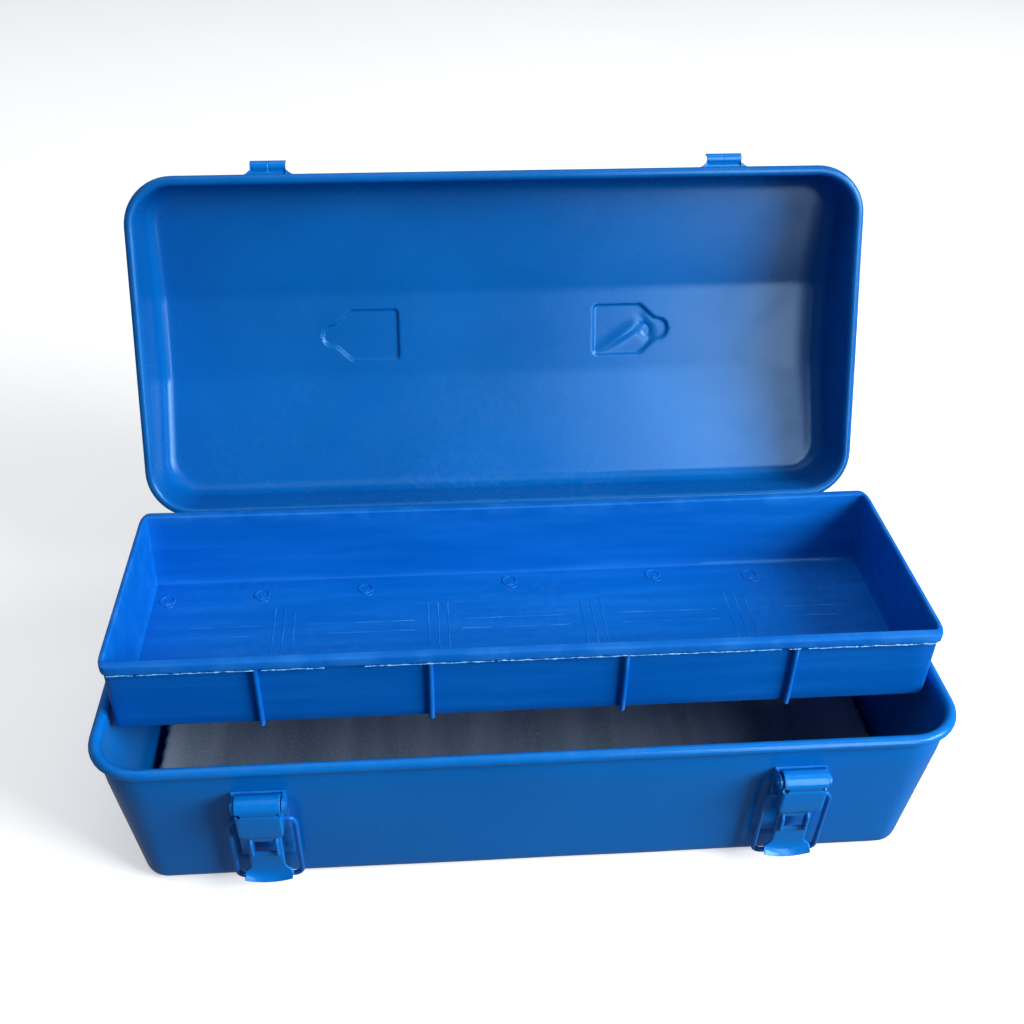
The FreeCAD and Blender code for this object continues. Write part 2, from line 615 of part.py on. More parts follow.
def build_lever(name, side):
    """The pressed lever: rolled top, channel sides, and a tongue with a curled finger lip."""
    body = new_body(f"latch_lever_{name}")
    front = "(-sizes.pivot_standoff - sizes.roll_radius)"
    skin = "sizes.lever_sheet"
    sketch = new_sketch(body, "YZ_Plane")
    circle(sketch, "-sizes.pivot_standoff", "-sizes.pivot_drop", "sizes.roll_radius")
    pad(body, sketch, "2 * sizes.lever_half_width", midplane=True)
    sketch = new_sketch(body, "YZ_Plane")
    polygon(sketch, [(front, "-sizes.pivot_drop"), (front, "-sizes.hood_drop"),
                     (f"{front} + sizes.tongue_step", "-sizes.hood_drop"),
                     ("-sizes.hood_back", "-sizes.hood_full_drop"), ("-sizes.hood_back", "-sizes.pivot_drop")])
    pad(body, sketch, "2 * sizes.lever_half_width", midplane=True)
    inside = f"2 * (sizes.lever_half_width - {skin})"
    sketch = new_sketch(body, "YZ_Plane")
    circle(sketch, "-sizes.pivot_standoff", "-sizes.pivot_drop", f"sizes.roll_radius - {skin}")
    pocket(body, sketch, inside, midplane=True)
    sketch = new_sketch(body, "YZ_Plane")
    rectangle(sketch, f"{front} + {skin}", "sizes.cut_overrun",
              "-sizes.hood_drop - sizes.cut_overrun", "-sizes.pivot_drop")
    pocket(body, sketch, inside, midplane=True)
    low = f"{front} + sizes.tongue_step"
    step = "(sizes.hood_drop + sizes.tongue_step)"
    sketch = new_sketch(body, "YZ_Plane")
    polygon(sketch, [(front, f"{skin} - sizes.hood_drop"), (front, "-sizes.hood_drop"), (low, f"-{step}"),
                     (low, "-sizes.tongue_drop"),
                     (f"{low} - sizes.finger_reach", "-sizes.tongue_drop - sizes.finger_reach"),
                     (f"{low} - sizes.finger_reach + {skin}", f"-sizes.tongue_drop - sizes.finger_reach - {skin} / 2"),
                     (f"{low} + {skin}", f"-sizes.tongue_drop - {skin} / 2"),
                     (f"{low} + {skin}", f"-{step} + {skin} / 2"),
                     (f"{front} + {skin}", f"-sizes.hood_drop + {skin} / 2"),
                     (f"{front} + {skin}", f"{skin} - sizes.hood_drop")])
    pad(body, sketch, "2 * sizes.tongue_half_width", midplane=True)
    sketch = new_sketch(body, "XZ_Plane")
    rectangle(sketch, "-sizes.window_half_width", "sizes.window_half_width",
              "-sizes.window_top - sizes.window_height", "-sizes.window_top")
    for way in ("-", ""):
        many_sided(sketch, f"{way}sizes.relief_place", "-sizes.relief_drop", "sizes.relief_radius",
                   WIRE_SIDES)
    pocket(body, sketch, f"-({front}) + sizes.cut_overrun", backwards=True)
    sketch = new_sketch(body, "YZ_Plane")
    circle(sketch, "-sizes.pivot_standoff", "-sizes.pivot_drop", "sizes.latch_pin_radius + sizes.pin_fit")
    circle(sketch, "-sizes.bail_pivot_standoff", "-sizes.bail_pivot_drop", "sizes.wire_radius + sizes.bail_fit")
    pocket(body, sketch, "4 * sizes.lever_half_width", midplane=True)
    body.Placement = latch_frame(side)
    return body


def build_latch_pin(name, side):
    """The pin through both ears and the lever."""
    half = "(sizes.lever_half_width + sizes.ear_gap + sizes.ear_sheet + sizes.latch_pin_overhang)"
    base = latch_frame(side).multVec(spot(f"-{half}", "-sizes.pivot_standoff", "-sizes.pivot_drop"))
    return cylinder(f"latch_pin_{name}", "sizes.latch_pin_radius", f"2 * {half}", base, ALONG_X)


def bent_wire(body, radius, half_width, top, low, bend, end):
    """A wire bent into a U, whose legs end in straight feet along X."""
    spine = new_sketch(body, "XZ_Plane")
    corners = [(f"-{half_width}", top), (f"-{half_width}", low), (half_width, low), (half_width, top)]
    rounded_run(spine, corners, [None, bend, bend, None], closed=False)
    section = new_sketch(body, "XY_Plane", top)
    many_sided(section, f"-{half_width}", "0", radius, WIRE_SIDES)
    pipe(body, section, spine)
    for way in ("-", ""):
        sketch = new_sketch(body, "YZ_Plane", f"{way}{half_width}")
        many_sided(sketch, "0", "0", radius, WIRE_SIDES)
        pad(body, sketch, f"abs({half_width} - {end})", backwards=(number(end) < number(half_width)) == (way == ""))


def build_bail(name, side):
    """The wire bail, hanging from the lever with its feet turned into the lever's sides."""
    body = new_body(f"latch_bail_{name}")
    bent_wire(body, "sizes.wire_radius", "sizes.bail_half_width", "sizes.wire_radius",
              "-sizes.bail_length", "sizes.bail_bend", "(sizes.lever_half_width - sizes.stub_inset)")
    pivot = spot(f"{side} * {LATCH_X}", BAIL_Y, BAIL_Z)
    body.Placement = FreeCAD.Placement(pivot, latch_frame(side).Rotation)
    return body


def build_keeper(name, side):
    """A hook on the front of the lid, placed where the bail's bar comes to lie."""
    body = new_body(f"keeper_{name}")
    clear = "(sizes.wire_radius + sizes.keeper_gap)"
    skin = "sizes.keeper_sheet"
    low = f"({BAR_Z} - {clear} - {skin})"
    lip = f"({BAR_Y} - {clear})"
    lip_top = f"({low} + {skin} + sizes.keeper_lip)"
    wall = f"(-{OUTER_Y})"
    sketch = new_sketch(body, "YZ_Plane")
    polygon(sketch, [(wall, low), (f"{lip} - {skin}", low), (f"{lip} - {skin}", lip_top), (lip, lip_top),
                     (lip, f"{low} + {skin}"), (f"{wall} - {skin}", f"{low} + {skin}"),
                     (f"{wall} - {skin}", f"{low} + sizes.keeper_height"),
                     (wall, f"{low} + sizes.keeper_height")])
    pad(body, sketch, "2 * sizes.keeper_half_width", midplane=True)
    sketch = new_sketch(body, "XZ_Plane", f"-{lip}")
    rectangle(sketch, "-sizes.keeper_notch_half_width", "sizes.keeper_notch_half_width",
              f"{low} + {skin}", f"{lip_top} + sizes.cut_overrun")
    pocket(body, sketch, "sizes.cut_overrun", backwards=True)
    shift = FreeCAD.Placement(spot(f"{side} * {LATCH_X}", "0", "0"), FreeCAD.Rotation())
    body.Placement = LID_OPEN.multiply(shift)
    return body


def build_handle():
    """A bent steel rod whose feet turn outwards into the brackets."""
    body = new_body("handle_rod")
    bent_wire(body, "sizes.handle_radius", LEG_X, "-sizes.handle_radius",
              "sizes.handle_reach", "sizes.handle_bend",
              "(sizes.seat_middle + sizes.loop_length / 2 + sizes.handle_end)")
    body.Placement = handle_frame()
    return body


def handle_frame():
    """The pivot line of the handle on the open lid, with the handle hanging down."""
    hang = FreeCAD.Rotation(ALONG_X, -number("sizes.handle_hang_angle"))
    return LID_OPEN.multiply(FreeCAD.Placement(spot("0", "0", HANDLE_Z), hang))


def build_grip():
    """The sleeve on the handle."""
    body = new_body("handle_grip")
    sketch = new_sketch(body, "YZ_Plane")
    circle(sketch, "0", "sizes.handle_reach", "sizes.grip_radius")
    pad(body, sketch, "sizes.grip_length", midplane=True)
    sketch = new_sketch(body, "YZ_Plane")
    circle(sketch, "0", "sizes.handle_reach", "sizes.handle_radius + sizes.grip_fit")
    pocket(body, sketch, "2 * sizes.grip_length", midplane=True)
    body.Placement = handle_frame()
    return body


def build_bracket(name, side):
    """A plate on the pressed seat with a loop round the foot of the handle."""
    body = new_body(f"handle_bracket_{name}")
    seat = f"({RIDGE_Z} + sizes.seat_lift)"
    sketch = new_sketch(body, "XY_Plane", seat)
    rectangle(sketch, "-sizes.bracket_length / 2", "sizes.bracket_length / 2",
              "-sizes.bracket_width / 2", "sizes.bracket_width / 2")
    pad(body, sketch, "sizes.bracket_sheet")
    outer = "(sizes.handle_radius + sizes.handle_fit + sizes.loop_wall)"
    start = "-sizes.loop_length / 2"
    sketch = new_sketch(body, "YZ_Plane", start)
    rectangle(sketch, f"-{outer}", outer, f"{seat} + sizes.bracket_sheet / 2", HANDLE_Z)
    pad(body, sketch, "sizes.loop_length")
    sketch = new_sketch(body, "YZ_Plane", start)
    circle(sketch, "0", HANDLE_Z, outer)
    pad(body, sketch, "sizes.loop_length")
    sketch = new_sketch(body, "YZ_Plane")
    circle(sketch, "0", HANDLE_Z, "sizes.handle_radius + sizes.handle_fit")
    pocket(body, sketch, "2 * sizes.bracket_length", midplane=True)
    shift = FreeCAD.Placement(spot(f"{side} * sizes.seat_middle", "0", "0"), FreeCAD.Rotation())
    body.Placement = LID_OPEN.multiply(shift)
    return body


def build_all():
    """Every sub-part, in the order in which the box is put together."""
    parts = [build_tub(), build_mat(), build_tray(), build_lid()]
    for name, side in SIDES:
        parts += [build_rest(name, side), build_tub_leaf(name, side), build_lid_leaf(name, side),
                  build_hinge_pin(name, side), build_latch_plate(name, side), build_lever(name, side),
                  build_latch_pin(name, side), build_bail(name, side), build_keeper(name, side),
                  build_bracket(name, side)]
    parts += [build_handle(), build_grip()]
    return parts


parts = build_all()
doc.recompute()
for item in doc.Objects:
    if "Invalid" in item.State or "Error" in item.State:
        raise RuntimeError(f"{item.Label}: {item.State}")
os.makedirs("parts", exist_ok=True)
for part in parts:
    if part.Shape.isNull() or not part.Shape.isValid():
        raise RuntimeError(f"{part.Label}: the shape is not valid")
    part.Shape.exportStep(f"parts/{part.Label}.step")
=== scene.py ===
"""Dressed model of a pressed-steel trunk tool box, shown with its lid open.

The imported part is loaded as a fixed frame. Pieces are drawn in millimetres in the
frame of their own subassembly and are put in their place, in metres, when the mesh
is made. X runs to the right, Y to the back and Z up.
"""
import json
from math import acos, atan, atan2, copysign, cos, degrees, exp, hypot, pi, radians, sin, sqrt, tan

import bmesh
import bpy
from mathutils import Matrix, Vector, noise


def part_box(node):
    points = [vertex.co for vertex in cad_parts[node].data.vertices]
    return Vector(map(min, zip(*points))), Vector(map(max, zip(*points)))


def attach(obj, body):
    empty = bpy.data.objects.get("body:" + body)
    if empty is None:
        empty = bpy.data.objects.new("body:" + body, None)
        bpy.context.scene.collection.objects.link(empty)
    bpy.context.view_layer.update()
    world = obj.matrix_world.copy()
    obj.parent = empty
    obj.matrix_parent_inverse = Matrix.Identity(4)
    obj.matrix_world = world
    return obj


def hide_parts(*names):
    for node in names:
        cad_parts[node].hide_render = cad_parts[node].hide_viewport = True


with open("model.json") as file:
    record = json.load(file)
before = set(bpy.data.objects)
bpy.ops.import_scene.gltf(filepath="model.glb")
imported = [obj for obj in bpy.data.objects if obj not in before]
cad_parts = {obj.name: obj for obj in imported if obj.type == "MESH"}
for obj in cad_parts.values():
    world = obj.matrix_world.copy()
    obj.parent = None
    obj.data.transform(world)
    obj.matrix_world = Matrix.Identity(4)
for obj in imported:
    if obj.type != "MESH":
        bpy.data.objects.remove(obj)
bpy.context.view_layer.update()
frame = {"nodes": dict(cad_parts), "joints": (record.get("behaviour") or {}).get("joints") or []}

MM = 0.001
STEEL = 0.8
BEAD = 2.4
CORNER = 20
COLLAR_HEIGHT = 64
FLOOR_INSET = 10.2
FLOOR_RADIUS = 8
CLOSING_GAP = 0.4
LID_HEIGHT = 44
RIDGE = 21.3
ROOF_DROP = 14
ROOF_RADIUS = 7
BEAD_STEPS = 14
SEAT_X = 71.5
BRACKET_FACE = 2.38
LEAF_FACE = 0.98
HANDLE_REACH = 38
PHOTO = 1024
UPWARDS = (0, 0, 1)
SIDES = {"left": -1, "right": 1}

tub_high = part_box("base_tub")[1] / MM
HALF_X = tub_high.x - 2 * BEAD + STEEL
HALF_Y = tub_high.y - 2 * BEAD + STEEL
RIM = tub_high.z
LEAN = atan(FLOOR_INSET / COLLAR_HEIGHT)
joints = {joint["name"]: joint for joint in frame["joints"]}


def joint_place(name):
    return Vector(joints[name]["pos_m"]) / MM


def turn_about(place, angle):
    """A turn about a line along X through a place."""
    return Matrix.Translation(place) @ Matrix.Rotation(angle, 4, "X") @ Matrix.Translation(-place)


LID_OPEN = turn_about(joint_place("lid_hinge"), -radians(joints["lid_hinge"]["range_deg"][1]))
LATCH_X = joint_place("lever_right_turn").x
HANDLE_FRAME = Matrix.Translation(joint_place("handle_swing"))


def latch_frame(side):
    """The front wall under the collar at one latch: X along the box, Z up the wall."""
    corner = Vector((SIDES[side] * LATCH_X, -HALF_Y, COLLAR_HEIGHT))
    return Matrix.Translation(corner) @ Matrix.Rotation(LEAN, 4, "X")


# Curves and blends

def blend(share):
    """A smooth step from 0 to 1."""
    share = min(1.0, max(0.0, share))
    return share * share * (3 - 2 * share)


def bell(distance, width):
    return exp(-(distance / width) ** 2)


def soft_ramp(reach, width):
    """Zero before the bend and straight after it, with a round bend of that half width."""
    if reach < -width:
        return 0.0
    if reach > width:
        return reach
    return (reach + width) ** 2 / (4 * width)


def grid_lines(*runs):
    """Lines on both sides of the middle. Each run gives its far end and the step up to it."""
    half = [0.0]
    for end, step in runs:
        start = half[-1]
        count = max(1, round((end - start) / step))
        half += [start + (end - start) * place / count for place in range(1, count + 1)]
    return [-value for value in reversed(half[1:])] + half


def arc(middle, radius, start, end, steps):
    """Points of an arc, both ends included. Angles are in degrees."""
    turns = [radians(start + (end - start) * place / steps) for place in range(steps + 1)]
    return [(middle[0] + radius * cos(turn), middle[1] + radius * sin(turn)) for turn in turns]


def rounded_path(corners, radii, steps=6):
    """A path in space with an arc of a given radius at each inner corner."""
    path = [Vector(corners[0])]
    for before, corner, after, radius in zip(corners, corners[1:], corners[2:], radii):
        corner = Vector(corner)
        back, ahead = ((Vector(spot) - corner).normalized() for spot in (before, after))
        half = back.angle(ahead) / 2
        middle = corner + (back + ahead).normalized() * radius / sin(half)
        start, end = ((corner + way * radius / tan(half) - middle).normalized() for way in (back, ahead))
        path += [middle + start.slerp(end, place / steps) * radius for place in range(steps + 1)]
    return path + [Vector(corners[-1])]


# Meshes

def make_piece(name, points, faces, finish, place=None, sharp=32):
    """A piece from points in millimetres and faces, put in its place, in metres."""
    mesh = raw_mesh(name, points, [], faces)
    form = bmesh.new()
    form.from_mesh(mesh)
    if form.calc_volume(signed=True) < 0:
        bmesh.ops.reverse_faces(form, faces=form.faces)
    form.to_mesh(mesh)
    form.free()
    return finish_piece(name, mesh, finish, place, sharp)


def finish_piece(name, mesh, finish, place=None, sharp=32):
    mesh.transform(Matrix.Scale(MM, 4) @ (place or Matrix.Identity(4)))
    mesh.shade_smooth()
    if sharp:
        mesh.set_sharp_from_angle(angle=radians(sharp))
    mesh.materials.clear()
    mesh.materials.append(finish)
    return in_scene(name, mesh)


def raw_mesh(name, points, edges, faces):
    mesh = bpy.data.meshes.new(name)
    mesh.from_pydata([tuple(point) for point in points], edges, faces)
    return mesh


def in_scene(name, data):
    thing = bpy.data.objects.new(name, data)
    bpy.context.scene.collection.objects.link(thing)
    return thing


def final_mesh(thing):
    """The mesh that an object's modifiers give."""
    bpy.context.view_layer.update()
    return bpy.data.meshes.new_from_object(thing.evaluated_get(bpy.context.evaluated_depsgraph_get()))


def change(piece, name, kind, **settings):
    """Puts a modifier on a piece."""
    modifier = piece.modifiers.new(name, kind)
    for label, value in settings.items():
        setattr(modifier, label, value)
    return modifier


def applied(piece):
    """The piece with its modifiers turned into plain mesh."""
    mesh = final_mesh(piece)
    piece.modifiers.clear()
    piece.data = mesh
    return piece


def settle(piece, body, slot, *nodes):
    """The piece rides on a body and stands for CAD nodes, which are hidden. The slot is not used."""
    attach(piece, body)
    if nodes:
        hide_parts(*nodes)
    return piece


def grid_cells(wide, deep):
    """The faces of a grid whose points run row by row."""
    corners = [row * wide + column for row in range(deep - 1) for column in range(wide - 1)]
    return [(low, low + 1, low + wide + 1, low + wide) for low in corners]


def rounded_plan(across, along, corner):
    """A grid that fills a round-cornered rectangle: its spots, its rim and the way out there."""
    reach_x, reach_y = across[-1], along[-1]
    spots = []
    for y in along:
        for x in across:
            side = (abs(x) - reach_x + corner) / corner
            end = (abs(y) - reach_y + corner) / corner
            if side > 0 and end > 0:
                size = corner * max(side, end)
                turn = pi / 4 * (end / side if side >= end else 2 - side / end)
                spots.append((copysign(reach_x - corner + size * cos(turn), x),
                              copysign(reach_y - corner + size * sin(turn), y)))
            else:
                spots.append((x, y))
    wide, deep = len(across), len(along)
    rim = list(range(wide))
    rim += [row * wide + wide - 1 for row in range(1, deep)]
    rim += [(deep - 1) * wide + column for column in range(wide - 2, -1, -1)]
    rim += [row * wide for row in range(deep - 2, 0, -1)]
    ways = []
    for index in rim:
        x, y = spots[index]
        out = Vector((max(0.0, abs(x) - reach_x + corner), max(0.0, abs(y) - reach_y + corner)))
        out.normalize()
        ways.append((copysign(out.x, x), copysign(out.y, y)))
    return spots, grid_cells(wide, deep), rim, ways


def pressed_shell(plan, first, rings, last):
    """A closed skin: a filled plan, rings outwards and back round the edge, a filled plan."""
    spots, cells, rim, ways = plan
    points = [first(x, y) for x, y in spots]
    faces = [tuple(reversed(cell)) for cell in cells]
    loop = rim
    for ring in rings:
        following = range(len(points), len(points) + len(rim))
        points += [ring(*spots[index], *way) for index, way in zip(rim, ways)]
        faces += bridge(loop, following)
        loop = following
    start = len(points)
    points += [last(x, y) for x, y in spots]
    faces += [tuple(start + index for index in cell) for cell in cells]
    faces += bridge(loop, [start + index for index in rim])
    return points, faces


def bridge(low, high):
    """Faces between two loops of the same length."""
    count = len(low)
    return [(low[at], low[(at + 1) % count], high[(at + 1) % count], high[at]) for at in range(count)]


def slab(outline, low, high):
    """A flat plate: an outline pushed from one height to another."""
    points = [(x, y, height) for height in (low, high) for x, y in outline]
    first, last = range(len(outline)), range(len(outline), len(points))
    return points, [tuple(first[::-1]), tuple(last), *bridge(first, last)]


def pushed(section, start, end):
    """A section in the YZ plane pushed along X."""
    points, faces = slab(section, start, end)
    return [(x, y, z) for y, z, x in points], [face[::-1] for face in faces]


def joined(*shapes):
    """Several closed shapes as one list of points and faces."""
    points, faces = [], []
    for more_points, more_faces in shapes:
        start = len(points)
        points += list(more_points)
        faces += [tuple(start + index for index in face) for face in more_faces]
    return points, faces


# Nodes

def feed(target, value):
    """Links another node's socket to an input, or sets the input to a value."""
    if isinstance(value, bpy.types.NodeSocket):
        target.id_data.links.new(value, target)
    else:
        target.default_value = value


def plug_in(made, **inputs):
    """Feeds a node's named inputs. An underscore stands for a space."""
    for name, value in inputs.items():
        feed(made.inputs[name.replace("_", " ")], value)
    return made


def node(tree, kind, inputs=None, **settings):
    """A node with its settings and inputs, in a tree or beside a socket of that tree."""
    made = tree.id_data.nodes.new(kind)
    for name, value in settings.items():
        setattr(made, name, value)
    for name, value in (inputs or {}).items():
        feed(made.inputs[name], value)
    return made


def speckle(place, scale, detail=3.0, rough=0.6, warp=0.0):
    inputs = {"Vector": place, "Scale": scale, "Detail": detail, "Roughness": rough, "Distortion": warp}
    return node(place, "ShaderNodeTexNoise", inputs).outputs["Fac"]


def spread(value, low, high, to_low=0.0, to_high=1.0):
    inputs = {"Value": value, "From Min": low, "From Max": high, "To Min": to_low, "To Max": to_high}
    return node(value, "ShaderNodeMapRange", inputs).outputs["Result"]


def times(first, second, way="MULTIPLY"):
    return node(first, "ShaderNodeMath", {0: first, 1: second}, operation=way).outputs[0]


def mixed(share, first, second):
    """One colour laid over another by a share."""
    return node(share, "ShaderNodeMix", {"Factor": share, 6: first, 7: second}, data_type="RGBA").outputs[2]


def stretched(place, scale):
    return node(place, "ShaderNodeMapping", {"Vector": place, "Scale": scale}).outputs[0]


def new_group(kind, name, takes, gives, **inputs):
    """A node group. Takes and gives name sockets and their kinds; an input's kind is its value's."""
    tree = bpy.data.node_groups.new(name, kind + "NodeTree")
    kinds = {tuple: "Color", float: "Float", int: "Int"}
    sockets = [("INPUT", label, sort, None) for label, sort in takes.items()]
    sockets += [("INPUT", label, kinds[type(value)], value) for label, value in inputs.items()]
    sockets += [("OUTPUT", label, sort, None) for label, sort in gives.items()]
    for way, label, sort, value in sockets:
        label = label.replace("_", " ")
        made = tree.interface.new_socket(name=label, in_out=way, socket_type="NodeSocket" + sort)
        if value is not None:
            made.default_value = value
    return tree, node(tree, "NodeGroupInput").outputs, node(tree, "NodeGroupOutput")


# Shader groups shared by the finishes

PLACE = {"Place": "Vector"}
MASK = {"Mask": "Float"}
SURFACE = {"Color": "Color", "Roughness": "Float", "Height": "Float"}


def build_enamel_film():
    """Stoved enamel: a colour that pools and thins a little, with the fine skin of sprayed paint."""
    tree, given, end = new_group(
        "Shader", "enamel_film", PLACE, SURFACE, Paint=(0, 0.1, 0.4, 1), Thin_Paint=(0, 0.14, 0.5, 1),
        Skin_Size=700.0, Gloss=0.2, Haze=0.08)
    place = given["Place"]
    pooled = spread(speckle(place, 9.0, 2.0), 0.35, 0.65)
    color = mixed(pooled, given["Paint"], given["Thin Paint"])
    smear = spread(speckle(place, 24.0, 5.0, 0.7, 0.6), 0.4, 0.75)
    rough = times(given["Gloss"], times(smear, given["Haze"]), "ADD")
    skin = speckle(place, given["Skin Size"], 1.0, 0.4)
    wave = speckle(place, 60.0, 1.0, 0.4)
    height = times(skin, times(wave, 2.0), "ADD")
    plug_in(end, Color=color, Roughness=rough, Height=height)
    return tree


def build_edge_highlight():
    """Where corners and rims take a painted highlight: a mask from the bend of the surface, broken into
    patches.
    """
    tree, given, end = new_group("Shader", "edge_highlight", PLACE, MASK, Reach=0.56, Patch_Size=120.0)
    bend = node(tree, "ShaderNodeNewGeometry").outputs["Pointiness"]
    edge = spread(bend, 0.52, given["Reach"])
    patch = spread(speckle(given["Place"], given["Patch Size"], 4.0), 0.42, 0.62)
    plug_in(end, Mask=times(edge, patch))
    return tree


def build_shop_dust():
    """Fine dust that lies on upward faces, and a few smears."""
    tree, given, end = new_group("Shader", "shop_dust", PLACE, MASK, Amount=0.1, Grain_Size=300.0)
    normal = node(tree, "ShaderNodeNewGeometry").outputs["Normal"]
    facing = node(tree, "ShaderNodeSeparateXYZ", {0: normal}).outputs["Z"]
    lying = spread(facing, 0.2, 1.0, 0.15, 1.0)
    drift = spread(speckle(given["Place"], 14.0, 4.0, 0.6, 0.4), 0.4, 0.7)
    grain = spread(speckle(given["Place"], given["Grain Size"], 2.0), 0.45, 0.7)
    plug_in(end, Mask=times(times(lying, drift), times(grain, given["Amount"])))
    return tree


def build_mould_grain():
    """Moulded plastic: a fine matt grain, flow streaks along the box and scuffs."""
    tree, given, end = new_group(
        "Shader", "mould_grain", PLACE, SURFACE, Body=(0, 0.15, 0.6, 1), Scuffed=(0.02, 0.25, 0.8, 1),
        Grain_Size=900.0)
    drawn = stretched(given["Place"], (1.0, 9.0, 9.0))
    flow = spread(speckle(drawn, 14.0, 3.0), 0.4, 0.7)
    scuff = spread(speckle(drawn, 90.0, 5.0, 0.75, 1.0), 0.62, 0.74)
    share = times(times(flow, 0.35), times(scuff, 0.45), "ADD")
    color = mixed(share, given["Body"], given["Scuffed"])
    grain = speckle(given["Place"], given["Grain Size"], 2.0)
    rough = spread(times(flow, scuff, "ADD"), 0.0, 1.6, 0.36, 0.56)
    plug_in(end, Color=color, Roughness=rough, Height=times(grain, times(flow, 0.6), "ADD"))
    return tree


enamel_film = build_enamel_film()
edge_highlight = build_edge_highlight()
shop_dust = build_shop_dust()
mould_grain = build_mould_grain()


# Finishes

def new_finish(name):
    finish = bpy.data.materials.new(name)
    finish.use_nodes = True
    tree = finish.node_tree
    tree.nodes.clear()
    shader = node(tree, "ShaderNodeBsdfPrincipled")
    node(tree, "ShaderNodeOutputMaterial", {"Surface": shader.outputs[0]})
    return finish, shader, node(tree, "ShaderNodeTexCoord").outputs["Object"]


def put_group(group, place, **inputs):
    return plug_in(node(place, "ShaderNodeGroup", node_tree=group), Place=place, **inputs).outputs


def dusted(place, amount, color, dust):
    """The colour under dust, and where the dust lies."""
    lies = put_group(shop_dust, place, Amount=amount)[0]
    return mixed(lies, color, dust), lies


def dress(shader, color, rough, height, depth, **sockets):
    """Feeds a shader its colour, its roughness, a relief of a depth in metres and its other sockets."""
    bump = node(height, "ShaderNodeBump", {"Height": height, "Distance": depth})
    plug_in(shader, Base_Color=color, Roughness=rough, Normal=bump.outputs[0], **sockets)


def enamel(name, paint, thin, gloss, skin=700.0):
    """Glossy blue enamel on pressed steel, with a painted highlight of lighter blue on its edges."""
    finish, shader, place = new_finish(name)
    film = put_group(enamel_film, place, Paint=paint, Thin_Paint=thin, Skin_Size=skin, Gloss=gloss)
    edge_light = put_group(edge_highlight, place, Reach=0.6)[0]
    # A lighter blue mixed in on sharp edges: a painted highlight.
    color = mixed(times(edge_light, 0.5), film["Color"], (0.03, 0.24, 0.72, 1))
    color, lies = dusted(place, 0.1, color, (0.16, 0.27, 0.42, 1))
    rough = times(film["Roughness"], times(lies, 0.4), "ADD")
    dress(shader, color, rough, film["Height"], 0.000022,
          Specular_IOR_Level=0.32, Specular_Tint=(0.45, 0.78, 1, 1))
    return finish


def tray_plastic():
    finish, shader, place = new_finish("tray_plastic")
    body, scuffed = (0.0, 0.105, 0.47, 1), (0.004, 0.17, 0.66, 1)
    grain = put_group(mould_grain, place, Body=body, Scuffed=scuffed)
    edge_light = put_group(edge_highlight, place, Reach=0.62, Patch_Size=60.0)[0]
    # A lighter blue mixed in on sharp edges: a painted highlight.
    color = mixed(times(edge_light, 0.6), grain["Color"], (0.05, 0.32, 0.85, 1))
    color = dusted(place, 0.12, color, (0.1, 0.26, 0.5, 1))[0]
    dress(shader, color, grain["Roughness"], grain["Height"], 0.00005,
          Specular_IOR_Level=0.35, Specular_Tint=(0.25, 0.6, 1, 1))
    return finish


def torn_flash():
    """The thin ragged edge that the mould left, whitened where it has been torn and bent."""
    finish, shader, place = new_finish("torn_flash")
    torn = spread(speckle(place, 260.0, 4.0), 0.4, 0.6)
    dress(shader, mixed(torn, (0.01, 0.2, 0.6, 1), (0.25, 0.6, 0.9, 1)), 0.5, torn, 0.0001)
    return finish


def mat_foam():
    """Grey closed-cell foam: fine cells, with paler and darker bands from a stretched noise."""
    finish, shader, place = new_finish("mat_foam")
    cells = node(place, "ShaderNodeTexVoronoi", {"Vector": place, "Scale": 900.0}).outputs["Distance"]
    drawn = stretched(place, (1.0, 0.12, 0.12))
    bands = spread(speckle(drawn, 55.0, 3.0, 0.5, 0.3), 0.36, 0.66)
    fluff = speckle(place, 500.0, 4.0)
    color = mixed(bands, (0.12, 0.17, 0.23, 1), (0.2, 0.26, 0.34, 1))
    color = mixed(spread(fluff, 0.5, 0.75, 0.0, 0.35), color, (0.3, 0.36, 0.44, 1))
    height = times(cells, times(fluff, 0.8), "ADD")
    dress(shader, color, 0.9, height, 0.0002, Specular_IOR_Level=0.2)
    return finish


def grip_rubber():
    finish, shader, place = new_finish("grip_plastic")
    body, scuffed = (0.012, 0.012, 0.014, 1), (0.04, 0.04, 0.045, 1)
    grain = put_group(mould_grain, place, Body=body, Scuffed=scuffed)
    color = dusted(place, 0.3, grain["Color"], (0.12, 0.12, 0.12, 1))[0]
    dress(shader, color, grain["Roughness"], grain["Height"], 0.00008)
    return finish


def zinc_plate():
    finish, shader, place = new_finish("zinc_plate")
    turned = speckle(stretched(place, (1.0, 14.0, 14.0)), 300.0, 3.0)
    bloom = speckle(place, 120.0, 4.0)
    color = mixed(bloom, (0.45, 0.46, 0.47, 1), (0.66, 0.67, 0.66, 1))
    dress(shader, color, spread(bloom, 0.3, 0.7, 0.28, 0.5), turned, 0.00003, Metallic=1.0)
    return finish


tub_paint = enamel("tub_enamel", (0.0, 0.122, 0.46, 1), (0.0, 0.14, 0.52, 1), 0.2)
# The lid's copy of the tub's blue is painted darker, as painted shade inside the lid.
lid_shaded_paint = enamel("lid_enamel_shaded", (0.0, 0.094, 0.36, 1), (0.0, 0.114, 0.42, 1), 0.24)
# The latches' copy of the same blue is painted lighter, as painted light on the latches.
latch_lit_paint = enamel("latch_enamel_lit", (0.0, 0.14, 0.52, 1), (0.0, 0.17, 0.6, 1), 0.16, skin=1400.0)
